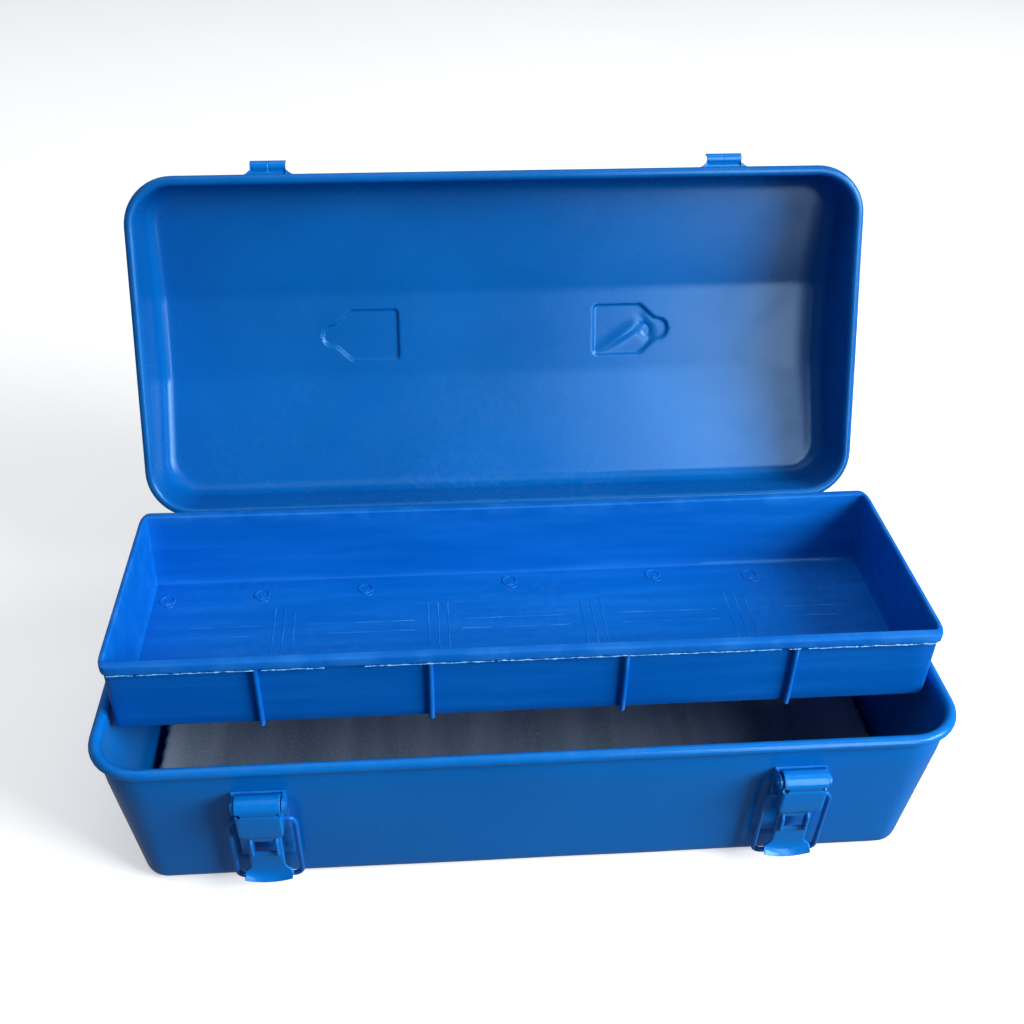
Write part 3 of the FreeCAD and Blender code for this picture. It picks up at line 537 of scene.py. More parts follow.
# The wire's copy of the same blue is painted darker, as painted shade on the wire.
wire_shaded_paint = enamel("wire_enamel_shaded", (0.0, 0.09, 0.4, 1), (0.0, 0.12, 0.48, 1), 0.18, skin=1400.0)
plastic = tray_plastic()
flash_plastic = torn_flash()
foam = mat_foam()
rubber = grip_rubber()
zinc = zinc_plate()


# Tub and lid: pressed skins with a rolled bead

def wobble(x, y, z, size=46.0, depth=0.22):
    """The slight oil-can waves of thin sheet."""
    return depth * noise.noise(Vector((x, y, z)) / size)


def at_height(out, height, wave=1.0):
    """A ring at one height, moved out from the plan's rim."""
    def ring(x, y, way_x, way_y):
        shift = out + wave * wobble(x + way_x * out, y + way_y * out, height)
        return (x + way_x * shift, y + way_y * shift, height)
    return ring


def rolled_bead(middle, way):
    """The side view of a rim's wire bead, from the sheet's outside to its inside, upwards or downwards."""
    start = degrees(acos((BEAD - STEEL) / BEAD)) - 180
    return arc(middle, BEAD, way * start, way * 180, BEAD_STEPS)


def tub_skin(inset):
    """The side view of one skin of the tub wall, from the floor up to the bead."""
    tangent = FLOOR_RADIUS / tan(pi / 4 + LEAN / 2)
    side = arc((0, FLOOR_RADIUS), FLOOR_RADIUS - inset, -90, -degrees(LEAN), 7)[1:]
    base = tangent - inset / cos(LEAN)
    for height in (12, 20, 28, 36, 44, 52, 58, 61):
        side.append((base + height * tan(LEAN), height))
    brim = tangent + FLOOR_INSET - inset
    side += [(brim - 0.32, 62.6), (brim - 0.06, 64.6), (brim, 67), (brim, 70.5)]
    return tangent, side


def build_tub():
    tangent, outside = tub_skin(0)
    inside = tub_skin(STEEL)[1]
    brim = outside[-1][0]
    middle = (brim - STEEL + BEAD, RIM - BEAD)
    bead = rolled_bead(middle, 1)
    reach_x = HALF_X - FLOOR_INSET - tangent
    reach_y = HALF_Y - FLOOR_INSET - tangent
    corner = CORNER - FLOOR_INSET - tangent
    across = grid_lines((reach_x - corner, 8), (reach_x, corner / 5))
    along = grid_lines((reach_y - corner, 8), (reach_y, corner / 5))
    rings = [at_height(*spot) for spot in outside]
    rings += [at_height(out, height, 0.3) for out, height in bead]
    rings += [at_height(*spot) for spot in reversed(inside)]
    points, faces = pressed_shell(
        rounded_plan(across, along, corner),
        lambda x, y: (x, y, 0), rings,
        lambda x, y: (x, y, STEEL + wobble(x, y, 0) * 0.4))
    return make_piece("tub_pressing", points, faces, tub_paint)


def roof_wave(x, y):
    return wobble(x, y, 120, 60, 0.3)


def roof(y):
    return RIM + CLOSING_GAP + LID_HEIGHT - soft_ramp(abs(y) - RIDGE, 2.6) * ROOF_DROP / (HALF_Y - RIDGE)


def seat_depth(x, y):
    """How far a spot lies inside the outline of a handle seat; it is negative outside."""
    back, half, corner = 19.8, 13.3, 2.2
    taper, tip, tip_radius = 3.2, 14.3, 5.5
    along = abs(x) - SEAT_X
    aside = abs(y)
    if along > tip:
        return tip_radius - hypot(along - tip, aside)
    shoulder = tip_radius + (half - tip_radius) * (1 - blend((along - taper) / 11.4))
    slope = 1.0 if along < taper else 0.82
    if along + back < corner and half - aside < corner:
        return corner - hypot(corner - along - back, corner - half + aside)
    return min(along + back, (shoulder - aside) * slope)


def dent(x, y):
    """The knock in the right-hand seat: a slanting crease with a hollow beyond it."""
    along = ((x - 68) * 0.83 - (y - 2.5) * 0.55)
    aside = ((x - 68) * 0.55 + (y - 2.5) * 0.83)
    ridge = -1.1 * bell(aside, 2.8) * bell(along, 13)
    hollow = 1.3 * bell((x - 79.5) * 0.9 - y * 0.4, 2.6) * bell((x - 79.5) * 0.4 + y * 0.9, 5.5)
    return ridge + hollow


def roof_relief(x, y):
    depth = seat_depth(x, y)
    lift = 1.2 * blend((depth + 0.7) / 1.4) + roof_wave(x, y)
    if x > 0 and depth > -1:
        lift += dent(x, y) * blend((depth + 1) / 3)
    return lift


def roof_ring(out, radius, sheet):
    """A ring of the lid's round shoulder."""
    drop = radius - sqrt(max(0.0, radius * radius - out * out))

    def ring(x, y, way_x, way_y):
        far_y = y + way_y * out
        fade = 1 - out / radius
        height = roof(far_y) - sheet - drop + fade * roof_wave(x, y)
        return (x + way_x * out, far_y, height)
    return ring


def lid_wall_ring(out, share, foot):
    """A ring of the lid's wall, part of the way from the shoulder down to the bead."""
    def ring(x, y, way_x, way_y):
        far_y = y + way_y * out
        top = roof(far_y) - ROOF_RADIUS
        height = top + (foot - top) * share
        shift = out + wobble(x, y, height) * sin(pi * share)
        return (x + way_x * shift, y + way_y * shift, height)
    return ring


def build_lid():
    foot = RIM + CLOSING_GAP + BEAD
    inner = ROOF_RADIUS - STEEL
    middle = (inner + BEAD, foot)
    bead = rolled_bead(middle, -1)
    reach_x, reach_y = HALF_X - ROOF_RADIUS, HALF_Y - ROOF_RADIUS
    corner = CORNER - ROOF_RADIUS
    across = grid_lines((50, 5), (93, 0.72), (reach_x - corner, 5), (reach_x, 2))
    along = grid_lines((15.2, 0.72), (18, 1.4), (25, 0.9), (reach_y - corner, 4), (reach_y, 2))
    shoulder = [ROOF_RADIUS * sin(radians(angle)) for angle in (13, 26, 39, 52, 65, 78, 90)]
    wall = (0.12, 0.26, 0.4, 0.55, 0.7, 0.85)
    rings = [roof_ring(out, ROOF_RADIUS, 0) for out in shoulder]
    rings += [lid_wall_ring(ROOF_RADIUS, share, foot + 1.8) for share in wall]
    rings += [at_height(out, height, 0.3) for out, height in bead]
    rings += [lid_wall_ring(inner, share, foot) for share in reversed(wall)]
    rings += [roof_ring(out * inner / ROOF_RADIUS, inner, STEEL) for out in reversed(shoulder)]
    points, faces = pressed_shell(
        rounded_plan(across, along, corner),
        lambda x, y: (x, y, roof(y) + roof_relief(x, y)), rings,
        lambda x, y: (x, y, roof(y) - STEEL + roof_relief(x, y)))
    return make_piece("lid_pressing", points, faces, lid_shaded_paint, LID_OPEN)


# Tray

TRAY_TOP = RIM + 30
TRAY_HEIGHT = 38
TRAY_BASE = TRAY_TOP - TRAY_HEIGHT
TRAY_WALL = 1.8
tray_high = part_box("tray")[1] / MM
TRAY_FOOT_X, TRAY_FOOT_Y = tray_high.x - 1.5, tray_high.y - 6.2
TRAY_HEAD_X, TRAY_HEAD_Y = tray_high.x - 0.7, tray_high.y - 2.6


def bow(x, y, height):
    """The moulding's long sides have drawn in and sagged a little between the ends."""
    middle = 1 - (x / TRAY_HEAD_X) ** 2
    share = (height - TRAY_TOP + TRAY_HEIGHT) / TRAY_HEIGHT
    side = y / TRAY_HEAD_Y
    return (x, y - side * 0.7 * middle * share, height - 0.5 * middle * share * abs(side))


def tray_ring(share, grow_x, grow_y, height, inset=0.0):
    """A ring of the tray's wall. The foot's rim moves out to the head's by a share."""
    wide = share * (TRAY_HEAD_X - TRAY_FOOT_X) + grow_x - inset
    deep = share * (TRAY_HEAD_Y - TRAY_FOOT_Y) + grow_y - inset

    def ring(x, y, way_x, way_y):
        return bow(x + way_x * wide, y + way_y * deep, height)
    return ring


def build_tray():
    corner, edge = 1.4, 0.9
    across = grid_lines((TRAY_FOOT_X - corner - edge, 6), (TRAY_FOOT_X - edge, 0.6))
    along = grid_lines((TRAY_FOOT_Y - corner - edge, 6), (TRAY_FOOT_Y - edge, 0.6))
    lip_x, lip_y = tray_high.x - TRAY_HEAD_X, tray_high.y - TRAY_HEAD_Y
    far_x, far_y = edge + lip_x, edge + lip_y
    inside = edge - TRAY_WALL
    brim = TRAY_TOP - 4.6
    side = [(0, 0.5, 0.5, TRAY_BASE + 0.12), (0, edge, edge, TRAY_BASE + edge)]
    side += [(share, edge, edge, TRAY_BASE + TRAY_HEIGHT * share) for share in (0.15, 0.35, 0.55, 0.75, 0.87)]
    side += [(0.88, edge + lip_x * 0.7, edge + lip_y * 0.85, brim), (0.9, far_x, far_y, brim + 0.5),
             (1, far_x, far_y, TRAY_TOP - 1.1), (1, 0.6 + lip_x, 0.6 + lip_y, TRAY_TOP - 0.3),
             (1, 0.2 + lip_x * 0.8, lip_y * 0.8, TRAY_TOP), (1, 1.5 - TRAY_WALL, 1.7 - TRAY_WALL, TRAY_TOP),
             (1, inside, inside, TRAY_TOP - 0.6)]
    side += [(share, inside, inside, TRAY_BASE + TRAY_HEIGHT * share) for share in (0.8, 0.6, 0.4, 0.2, 0.1)]
    side += [(0.03, 0.5 - TRAY_WALL, 0.5 - TRAY_WALL, TRAY_BASE + 2.5),
             (0, -TRAY_WALL - 0.2, -TRAY_WALL - 0.2, TRAY_BASE + 2)]
    points, faces = pressed_shell(
        rounded_plan(across, along, corner),
        lambda x, y: (x, y, TRAY_BASE), [tray_ring(*row) for row in side],
        lambda x, y: (x * 0.985, y * 0.95, TRAY_BASE + 2))
    return make_piece("tray_moulding", points, faces, plastic)


# Geometry Nodes for what repeats or follows a path

def repeat_tree(name, **sizes):
    """A tree that takes a drawn outline and gives back the repeated pieces, with a finish."""
    shape = {"Geometry": "Geometry"}
    return new_group("Geometry", name, dict(shape, Finish="Material"), shape, **sizes)


def end_tree(finish, end, shape):
    """Instances become real mesh and take the finish."""
    for kind in ("RealizeInstances", "SetShadeSmooth", "SetMaterial"):
        last = node(shape, "GeometryNode" + kind, {"Geometry": shape})
        shape = last.outputs[0]
    plug_in(last, Material=finish)
    plug_in(end, Geometry=shape)
    return end.id_data


def circle(sides, radius):
    sizes = {"Resolution": sides, "Radius": radius}
    return node(radius, "GeometryNodeCurvePrimitiveCircle", sizes, mode="RADIUS").outputs[0]


def bar_on_path_tree():
    """A bar swept along each drawn line, with a flattened section and closed ends."""
    tree, given, end = repeat_tree(
        "bar_on_path", Half_Width=1.0, Flatness=1.0, Sides=12, Raggedness=0.0, Seed=3)
    line = node(tree, "GeometryNodeMeshToCurve", {"Mesh": given["Geometry"]}).outputs[0]
    random = {2: -1.0, 3: 1.0, "Seed": given["Seed"]}
    jitter = node(tree, "FunctionNodeRandomValue", random, data_type="FLOAT").outputs[1]
    size = times(times(jitter, given["Raggedness"]), 1.0, "ADD")
    squeeze = node(tree, "ShaderNodeCombineXYZ", {"X": 1.0, "Y": given["Flatness"], "Z": 1.0}).outputs[0]
    section = circle(given["Sides"], given["Half Width"])
    flat = node(tree, "GeometryNodeTransform", {"Geometry": section, "Scale": squeeze}).outputs[0]
    swept = node(tree, "GeometryNodeCurveToMesh",
                 {"Curve": line, "Profile Curve": flat, "Scale": size, "Fill Caps": True})
    return end_tree(given["Finish"], end, swept.outputs[0])


def dimple_tree():
    """A round pressed mark, with a raised rim and a hollow middle, at each drawn point."""
    tree, given, end = repeat_tree("dimples", Radius=2.0, Rim=0.4, Sides=24)
    rim = node(tree, "GeometryNodeCurveToMesh", {"Curve": circle(given["Sides"], given["Radius"]),
                                                 "Profile Curve": circle(8, given["Rim"])})
    spots = node(tree, "GeometryNodeMeshToPoints", {"Mesh": given["Geometry"]}).outputs[0]
    way = node(tree, "GeometryNodeInputNamedAttribute", {"Name": "way"}, data_type="FLOAT_VECTOR").outputs[0]
    turn = node(tree, "FunctionNodeAlignRotationToVector", {"Vector": way}, axis="Z").outputs[0]
    placed = node(tree, "GeometryNodeInstanceOnPoints",
                  {"Points": spots, "Instance": rim.outputs[0], "Rotation": turn})
    return end_tree(given["Finish"], end, placed.outputs[0])


bar_on_path = bar_on_path_tree()
dimples = dimple_tree()


def grown(name, tree, points, edges, finish, place=None, sharp=40, ways=None, **sizes):
    """Runs a tree over drawn points and lines, and keeps the result as a plain mesh."""
    drawn = raw_mesh(name + "_drawn", points, edges, [])
    if ways:
        layer = drawn.attributes.new("way", "FLOAT_VECTOR", "POINT")
        for at, way in enumerate(ways):
            layer.data[at].vector = way
    holder = in_scene(name + "_drawn", drawn)
    modifier = change(holder, "grow", "NODES", node_group=tree)
    names = {item.name: item.identifier for item in tree.interface.items_tree if item.in_out == "INPUT"}
    for label, value in dict(sizes, Finish=finish).items():
        modifier[names[label.replace("_", " ")]] = value
    mesh = final_mesh(holder)
    mesh.name = name
    bpy.data.objects.remove(holder)
    bpy.data.meshes.remove(drawn)
    form = bmesh.new()
    form.from_mesh(mesh)
    bmesh.ops.recalc_face_normals(form, faces=form.faces)
    form.to_mesh(mesh)
    form.free()
    return finish_piece(name, mesh, finish, place, sharp)


def bars(name, paths, finish, half_width, place=None, flatness=1.0, sides=12, sharp=40, **sizes):
    """A bar along each drawn path."""
    points, edges = [], []
    for path in paths:
        start = len(points)
        points += list(path)
        edges += [(at, at + 1) for at in range(start, len(points) - 1)]
    return grown(name, bar_on_path, points, edges, finish, place, sharp,
                 Half_Width=half_width, Flatness=flatness, Sides=sides, **sizes)


def round_marks(name, spots, way, radius, rim, finish, place=None, sides=20):
    """A round mark at each spot, facing one way."""
    return grown(name, dimples, spots, [], finish, place, ways=[way] * len(spots),
                 Radius=radius, Rim=rim, Sides=sides)


def build_tray_ribs():
    """The upright ribs on the tray's long sides."""
    paths = []
    for share in (-0.6415, -0.233, 0.233, 0.6415):
        for side in (-1, 1):
            x = share * tray_high.x
            low = Vector((x, side * (TRAY_FOOT_Y + 0.75), TRAY_BASE - 0.6))
            high = Vector((x, side * (TRAY_HEAD_Y + 0.75), TRAY_TOP - 4.2))
            paths.append([bow(*low.lerp(high, step / 8)) for step in range(9)])
    return bars("tray_ribs", paths, plastic, 1.25)


def build_tray_marks():
    """Fine raised lines on the tray's floor, in threes across it and in pairs along it."""
    top = TRAY_BASE + 2.02
    paths = [[(middle + step, y, top) for y in (-17, -4, 10, 24)]
             for middle in (-107, -36, 36, 105) for step in (-4.6, 0, 4.6)]
    paths += [[(x, y, top) for x in (start, (start + end) / 2, end)] for y in (-24, -17, 5, 12)
              for start, end in ((-150, -118), (-96, -47), (-25, 25), (47, 94), (116, 150))]
    return bars("tray_floor_lines", paths, plastic, 0.3, flatness=0.35, sides=8)


def build_tray_rings():
    """Round marks where the mould's pins pushed the tray out."""
    top = TRAY_BASE + 2
    places = [(-163, 33), (-119, 35), (-70, 37), (-1, 39), (69, 40), (116, 37)]
    outer = [(x, y, top) for x, y in places]
    inner = [(x + 1.2, y - 3.4, top) for x, y in places]
    return (round_marks("tray_pin_marks", outer, UPWARDS, 3.3, 0.4, plastic, sides=28),
            round_marks("tray_pin_rings", inner, UPWARDS, 1.8, 0.35, plastic))


def build_tray_flash():
    """The ragged flash under the lip, torn off here and there."""
    count = 420
    runs = [[]]
    for step in range(count + 1):
        x = -tray_high.x + 4 + (2 * tray_high.x - 8) * step / count
        hang = 0.3 * noise.noise(Vector((x / 7, 3, 1))) + 0.25 * noise.noise(Vector((x / 2, 9, 1)))
        spot = Vector(bow(x, -tray_high.y + 0.25, TRAY_TOP - 4.5 - 0.15 + hang))
        if noise.noise(Vector((spot.x / 30, 40, 2))) + 0.5 * noise.noise(Vector((spot.x / 4, 7, 5))) > -0.34:
            runs[-1].append(spot)
        elif runs[-1]:
            runs.append([])
    runs = [run for run in runs if len(run) > 4]
    return bars("tray_flash", runs, flash_plastic, 0.27, flatness=0.7, sides=5, sharp=0,
                Raggedness=0.6, Seed=11)


# Mat

def build_mat():
    """The foam mat: it lies on the floor in slow waves and climbs both end walls."""
    low, high = (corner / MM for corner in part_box("base_mat"))
    flat = high.x - 24
    rise = high.z - low.z - 3
    slope = atan2(rise, high.x - 3 - flat)
    ramp = hypot(rise, high.x - 3 - flat) + 1.2
    length = flat + ramp
    columns, rows = 190, 44
    points = []
    for column in range(columns + 1):
        run = -length + 2 * length * column / columns
        past = abs(run) - flat
        lift = soft_ramp(past, 6) * sin(slope)
        inward = soft_ramp(past, 6) * (1 - cos(slope))
        for row in range(rows + 1):
            y = low.y + (high.y - low.y) * row / rows
            ripple = 0.55 * sin(run / 5.6 + 0.8 * noise.noise(Vector((run / 30, y / 40, 0))))
            ripple += 0.6 * noise.noise(Vector((run / 16, y / 60, 4)))
            scallop = 0.9 * abs(sin(y / 2.6)) * blend((abs(run) - length + 7) / 7)
            x = copysign(abs(run) - inward - scallop, run)
            points.append((x, y, low.z + 0.75 + max(0, 0.55 + ripple) * 0.6 + lift))
    faces = [(a, d, c, b) for a, b, c, d in grid_cells(rows + 1, columns + 1)]
    piece = finish_piece("floor_mat", raw_mesh("floor_mat", points, [], faces), foam, None, 0)
    change(piece, "skin", "SOLIDIFY", thickness=2.2 * MM, offset=1.0)
    return piece


# Draw latches

PIVOT = Vector((-5.8, -2.5))
ROLL = 4.4
LEVER_HALF = 9.2
TONGUE_HALF = 7.2
LIP_FLARE = 2.9
HOOD_FLANGE, TONGUE_FLANGE, LIP_FLANGE = 5.8, 1.6, 0.3
HOOD_BEND, LIP_BEND = 0.9, 0.5
WINDOW_HALF = 4.28
WINDOW_LOW, WINDOW_HIGH = -34.5, -26
FACE_SHARES = (0, 0.15, 0.3, 0.45, 0.58, 0.68, 0.76, 0.82, 0.88, 0.94, 1)
BEND_SHARES = (0.25, 0.5, 0.75, 1)
FLANGE_SHARES = (0.06, 0.12, 0.19, 0.27, 0.36, 0.5, 0.75, 1)


def lever_side():
    """The side view of the lever's face: the roll, the crease, the hood, the step, the tongue and the lip."""
    side = arc(PIVOT, ROLL, -75, 197, 46)
    roll_end = len(side) - 1
    side += [(-9.75, -4.2), (-9.72, -4.6), (-9.95, -5.0), (-10.15, -5.5), (-10.2, -6.2)]
    side += [(-10.2 - 0.1 * sin(step / 8 * pi), -6.2 - 11 * step / 8) for step in range(1, 9)]
    side += [(-10.1, -18.4), (-9.75, -19.4), (-9.1, -20.4), (-8.3, -21.4), (-7.65, -22.5), (-7.3, -23.6)]
    side += [(-7.2, z) for z in (-24.8, -26, -28.1, -30.2, -32.4, -34.5, -36, -39, -42, -44.5)]
    side += [(-7.3, -46.2), (-7.65, -47.6), (-8.3, -48.8), (-9.3, -49.8), (-10.5, -50.4)]
    return side, roll_end


class Lever:
    """The lever's sheet: a side view with, at each place down it, a half width, a bend and a flange."""

    def __init__(self):
        side, roll_end = lever_side()
        self.side = [Vector(spot) for spot in side]
        self.lengths = [0.0]
        for before, after in zip(self.side, self.side[1:]):
            self.lengths.append(self.lengths[-1] + (after - before).length)
        self.roll_end = self.lengths[roll_end]

    def spot(self, down):
        """The side view's point and the way into the sheet at a distance down it."""
        down = min(max(down, 0.0), self.lengths[-1])
        at = 1
        while self.lengths[at] < down and at < len(self.lengths) - 1:
            at += 1
        share = (down - self.lengths[at - 1]) / (self.lengths[at] - self.lengths[at - 1])
        point = self.side[at - 1].lerp(self.side[at], share)
        ahead = (self.side[min(at + 1, len(self.side) - 1)] - self.side[max(at - 2, 0)]).normalized()
        inward = Vector((-ahead.y, ahead.x))
        if down > self.roll_end:
            inward = Vector((1, 0)).lerp(inward, 0.2).normalized()
        return point, inward

    def width(self, down):
        height = self.spot(down)[0].y
        if down <= self.roll_end:
            return LEVER_HALF, 0.3, 0.5 + 3.4 * blend((down - self.roll_end + 2.4) / 2.4)
        flange = TONGUE_FLANGE
        if height > -36:
            flange = HOOD_FLANGE + (TONGUE_FLANGE - HOOD_FLANGE) * blend((-17 - height) / 6)
        flange -= (TONGUE_FLANGE - LIP_FLANGE) * blend((-37 - height) / 6)
        half = LEVER_HALF + (TONGUE_HALF - LEVER_HALF) * blend((-17.5 - height) / 5)
        half += LIP_FLARE * blend((-45 - height) / 3.4)
        bend = HOOD_BEND + (LIP_BEND - HOOD_BEND) * blend((-40 - height) / 4)
        return half, bend, flange

    def row(self, down):
        """Distances across the sheet from its middle: over the face, round the bend, down the flange."""
        half, bend, flange = self.width(down)
        reach = [share * (half - bend) for share in FACE_SHARES]
        reach += [half - bend + share * bend * pi / 2 for share in BEND_SHARES]
        reach += [reach[-1] + share * flange for share in FLANGE_SHARES]
        return [-across for across in reversed(reach[1:])] + reach

    def point(self, across, down):
        """Where a spot of the flat sheet comes to lie once it is bent."""
        half, bend, _ = self.width(down)
        spot, inward = self.spot(down)
        past = abs(across) - (half - bend)
        if past <= 0:
            x, depth = across, 0.0
        elif past <= bend * pi / 2:
            x = copysign(half - bend + bend * sin(past / bend), across)
            depth = bend * (1 - cos(past / bend))
        else:
            x, depth = copysign(half, across), bend + past - bend * pi / 2
        height = spot.y + inward.y * depth
        sag = 2.2 * (1 - (x / half) ** 2) * blend((-45.5 - spot.y) / 4) - 0.9 * blend((-47 - spot.y) / 3)
        return (x, spot.x + inward.x * depth, height - sag)


def build_lever(side):
    """The pressed lever, with a window in its tongue and a round relief at each corner under the roll."""
    lever = Lever()
    downs = lever.lengths
    grid = [[(across, down) for across in lever.row(down)] for down in downs]
    relief_down = lever.roll_end + 0.1
    half, bend, _ = lever.width(relief_down + 1)
    relief_across = half - bend + bend * pi / 4 - 0.5
    relief = 1.8

    def from_relief(spot):
        return Vector((abs(spot[0]) - relief_across, spot[1] - relief_down))

    kept, edge, cut = [], set(), set()
    for row in range(len(grid) - 1):
        for column in range(len(grid[0]) - 1):
            corners = [(row, column), (row, column + 1), (row + 1, column + 1), (row + 1, column)]
            middle = [sum(grid[at][over][way] for at, over in corners) / 4 for way in (0, 1)]
            height = lever.spot(middle[1])[0].y
            window = middle[1] > lever.roll_end and WINDOW_LOW < height < WINDOW_HIGH
            window = window and abs(middle[0]) < WINDOW_HALF
            if from_relief(middle).length < relief:
                cut.update(corners)
            elif not window:
                kept.append(corners)
                edge.update(corners)
    for at, over in cut & edge:
        across, down = grid[at][over]
        out = from_relief((across, down)).normalized() * relief
        grid[at][over] = (copysign(relief_across + out.x, across), relief_down + out.y)
    form = bmesh.new()
    corners = {}
    for cell in kept:
        for at, over in cell:
            if (at, over) not in corners:
                corners[at, over] = form.verts.new(lever.point(*grid[at][over]))
        form.faces.new([corners[spot] for spot in cell])
    bmesh.ops.recalc_face_normals(form, faces=form.faces)
    front = min(form.faces, key=lambda cell: cell.calc_center_median().y)
    if front.normal.y > 0:
        bmesh.ops.reverse_faces(form, faces=form.faces)
    mesh = bpy.data.meshes.new("lever_sheet")
    form.to_mesh(mesh)
    form.free()
    piece = finish_piece(f"latch_lever_form_{side}", mesh, latch_lit_paint, latch_frame(side), 0)
    change(piece, "sheet", "SOLIDIFY", thickness=0.85 * MM, offset=-1.0)
    applied(piece)
    piece.data.set_sharp_from_angle(angle=radians(38))
    return piece


def build_tongue_ribs(side):
    """The two upright ribs that stand on either side of the lever's window."""
    front, back, height = -8.1, -6.6, (-24.6, -26.4, -34.6, -36.4)
    paths = [rounded_path([(x, y, z) for y, z in zip((back, front, front, back), height)], [1.4, 1.4], 4)
             for x in (-5.3, 5.3)]
    return bars(f"latch_ribs_{side}", paths, latch_lit_paint, 0.85, latch_frame(side))


def build_bail(side):
    """The wire bail: it leaves the lever's sides, arches over and hangs round the lever."""
    half, reach = 13.6, 41
    corners = [(-7.8, 0, 0), (-half + 1.4, 0, 0), (-half, 0, -3.6), (-half, 0, -reach), (half, 0, -reach),
               (half, 0, -3.6), (half - 1.4, 0, 0), (7.8, 0, 0)]
    path = rounded_path(corners, [2.0, 2.2, 4, 4, 2.2, 2.0], 7)
    place = Matrix.Translation(joint_place(f"bail_{side}_swing")) @ Matrix.Rotation(LEAN, 4, "X")
    return bars(f"latch_bail_wire_{side}", [path], wire_shaded_paint, 1.1, place, sides=18)


def build_keeper(side):
    """The strike on the lid: a plate and a saddle with ramps, and a split roll that takes the bail."""
    closed = LID_OPEN.inverted()
    corners = [closed @ (corner.co / MM) for corner in frame["nodes"][f"keeper_{side}"].data.vertices]
    x_middle = SIDES[side] * LATCH_X
    front = min(corner.y for corner in corners)
    foot = min(corner.z for corner in corners)
    wall = -HALF_Y
    roll, pocket = 2.45, 1.4
    middle = (front + roll + 0.08, foot + roll + 0.05)
    outside = [(wall - 3.8, foot + 1.1), (wall - 4.7, foot + 1.1)] + arc(middle, roll, -42, -180, 14)
    outside += [(middle[0] - roll, foot + 4.2)]
    inside = [(wall - 3.8, foot + 2.1), (middle[0] + pocket, foot + 2.1)] + arc(middle, pocket, -16, -180, 12)
    inside += [(middle[0] - pocket, foot + 4.2)]
    section = outside + list(reversed(inside))
    half, split = 8.5, 0.08
    halves = ((x_middle - half, x_middle - split), (x_middle + split, x_middle + half))
    shapes = [pushed(section, start, end) for start, end in halves]
    saddle = [(-11, 0), (-10.4, -1), (-9.5, -2.6), (-8.9, -3.9), (-8.4, -4.6)]
    saddle += [(-x, y) for x, y in reversed(saddle)]
    saddle = [(x_middle + x, wall + y) for x, y in saddle]
    shapes.append(slab(saddle, foot + 0.9, foot + 2.3))
    wing = [(8.3, -3.2), (8.3, -6.1), (9.0, -5.7), (9.8, -5.0), (10.7, -4.3), (11.6, -3.9), (11.6, -3.2)]
    for way in (-1, 1):
        outline = [(x_middle + way * x, wall + y) for x, y in wing[::way]]
        shapes.append(slab(outline, foot + 0.3, foot + 1.3))
    plate = [(wall, foot + 1), (wall - 1.2, foot + 1), (wall - 1.2, foot + 10), (wall, foot + 10)]
    shapes.append(pushed(plate, x_middle - 9.5, x_middle + 9.5))
    piece = make_piece(f"keeper_hook_{side}", *joined(*shapes), latch_lit_paint, LID_OPEN)
    change(piece, "edge", "BEVEL", width=0.3 * MM, segments=2, limit_method="ANGLE",
           angle_limit=radians(40))
    return applied(piece)


# Handle

def build_handle_rod():
    """The bent bar, hanging down from its pivots on the open lid."""
    leg, end = 57.5, 84
    corners = [(-end, 0, 0), (-leg, 0, 0), (-leg, 0, -HANDLE_REACH), (leg, 0, -HANDLE_REACH), (leg, 0, 0),
               (end, 0, 0)]
    path = rounded_path(corners, [3.2, 9, 9, 3.2], 8)
    return bars("handle_bar", [path], wire_shaded_paint, 3.0, HANDLE_FRAME, sides=28)


def build_grip():
    """The moulded sleeve: swells for the fingers and fine flutes along it."""
    half, around, steps = 44, 72, 96
    points, faces = [], []
    for step in range(steps + 1):
        x = -half + 2 * half * step / steps
        end = blend((half - abs(x)) / 3)
        swell = 0.35 * cos(x / half * pi * 4)
        for part in range(around):
            turn = 2 * pi * part / around
            flute = 0.16 * cos(turn * 24)
            finger = swell * max(0.0, -sin(turn))
            size = 3.4 + (1.75 + flute + finger) * (0.25 + 0.75 * end)
            points.append((x, size * cos(turn), -HANDLE_REACH + size * sin(turn)))
    loops = [range(start, start + around) for start in range(0, len(points), around)]
    for low, high in zip(loops, loops[1:]):
        faces += bridge(low, high)
    faces += [tuple(loops[0][::-1]), tuple(loops[-1])]
    return make_piece("handle_sleeve", points, faces, rubber, HANDLE_FRAME, 50)


def build_weld_marks():
    """Spot-weld marks on the hinge leaves and the handle's brackets, one mesh for each body."""
    top = RIM + CLOSING_GAP + LID_HEIGHT + BRACKET_FACE
    for side, way in SIDES.items():
        low, high = (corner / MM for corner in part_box(f"hinge_tub_leaf_{side}"))
        middle = (low.x + high.x) / 2
        leaves = (("tub", 69.4, tub_paint, None), ("lid", 90.2, lid_shaded_paint, LID_OPEN))
        for body, height, paint, place in leaves:
            spots = [(middle + x, HALF_Y + LEAF_FACE, height) for x in (-11, 0, 11)]
            marks = round_marks(f"{body}_leaf_welds_{side}", spots, (0, 1, 0), 1.7, 0.28, paint, place)
            settle(marks, body, "hinge_steel")
        spots = [(way * SEAT_X + x, y, top) for x in (-6.5, 6.5) for y in (-8.2, 8.2)]
        marks = round_marks(f"bracket_welds_{side}", spots, UPWARDS, 1.5, 0.28, lid_shaded_paint, LID_OPEN)
        settle(marks, "lid", "blue_steel_lid")


# The object

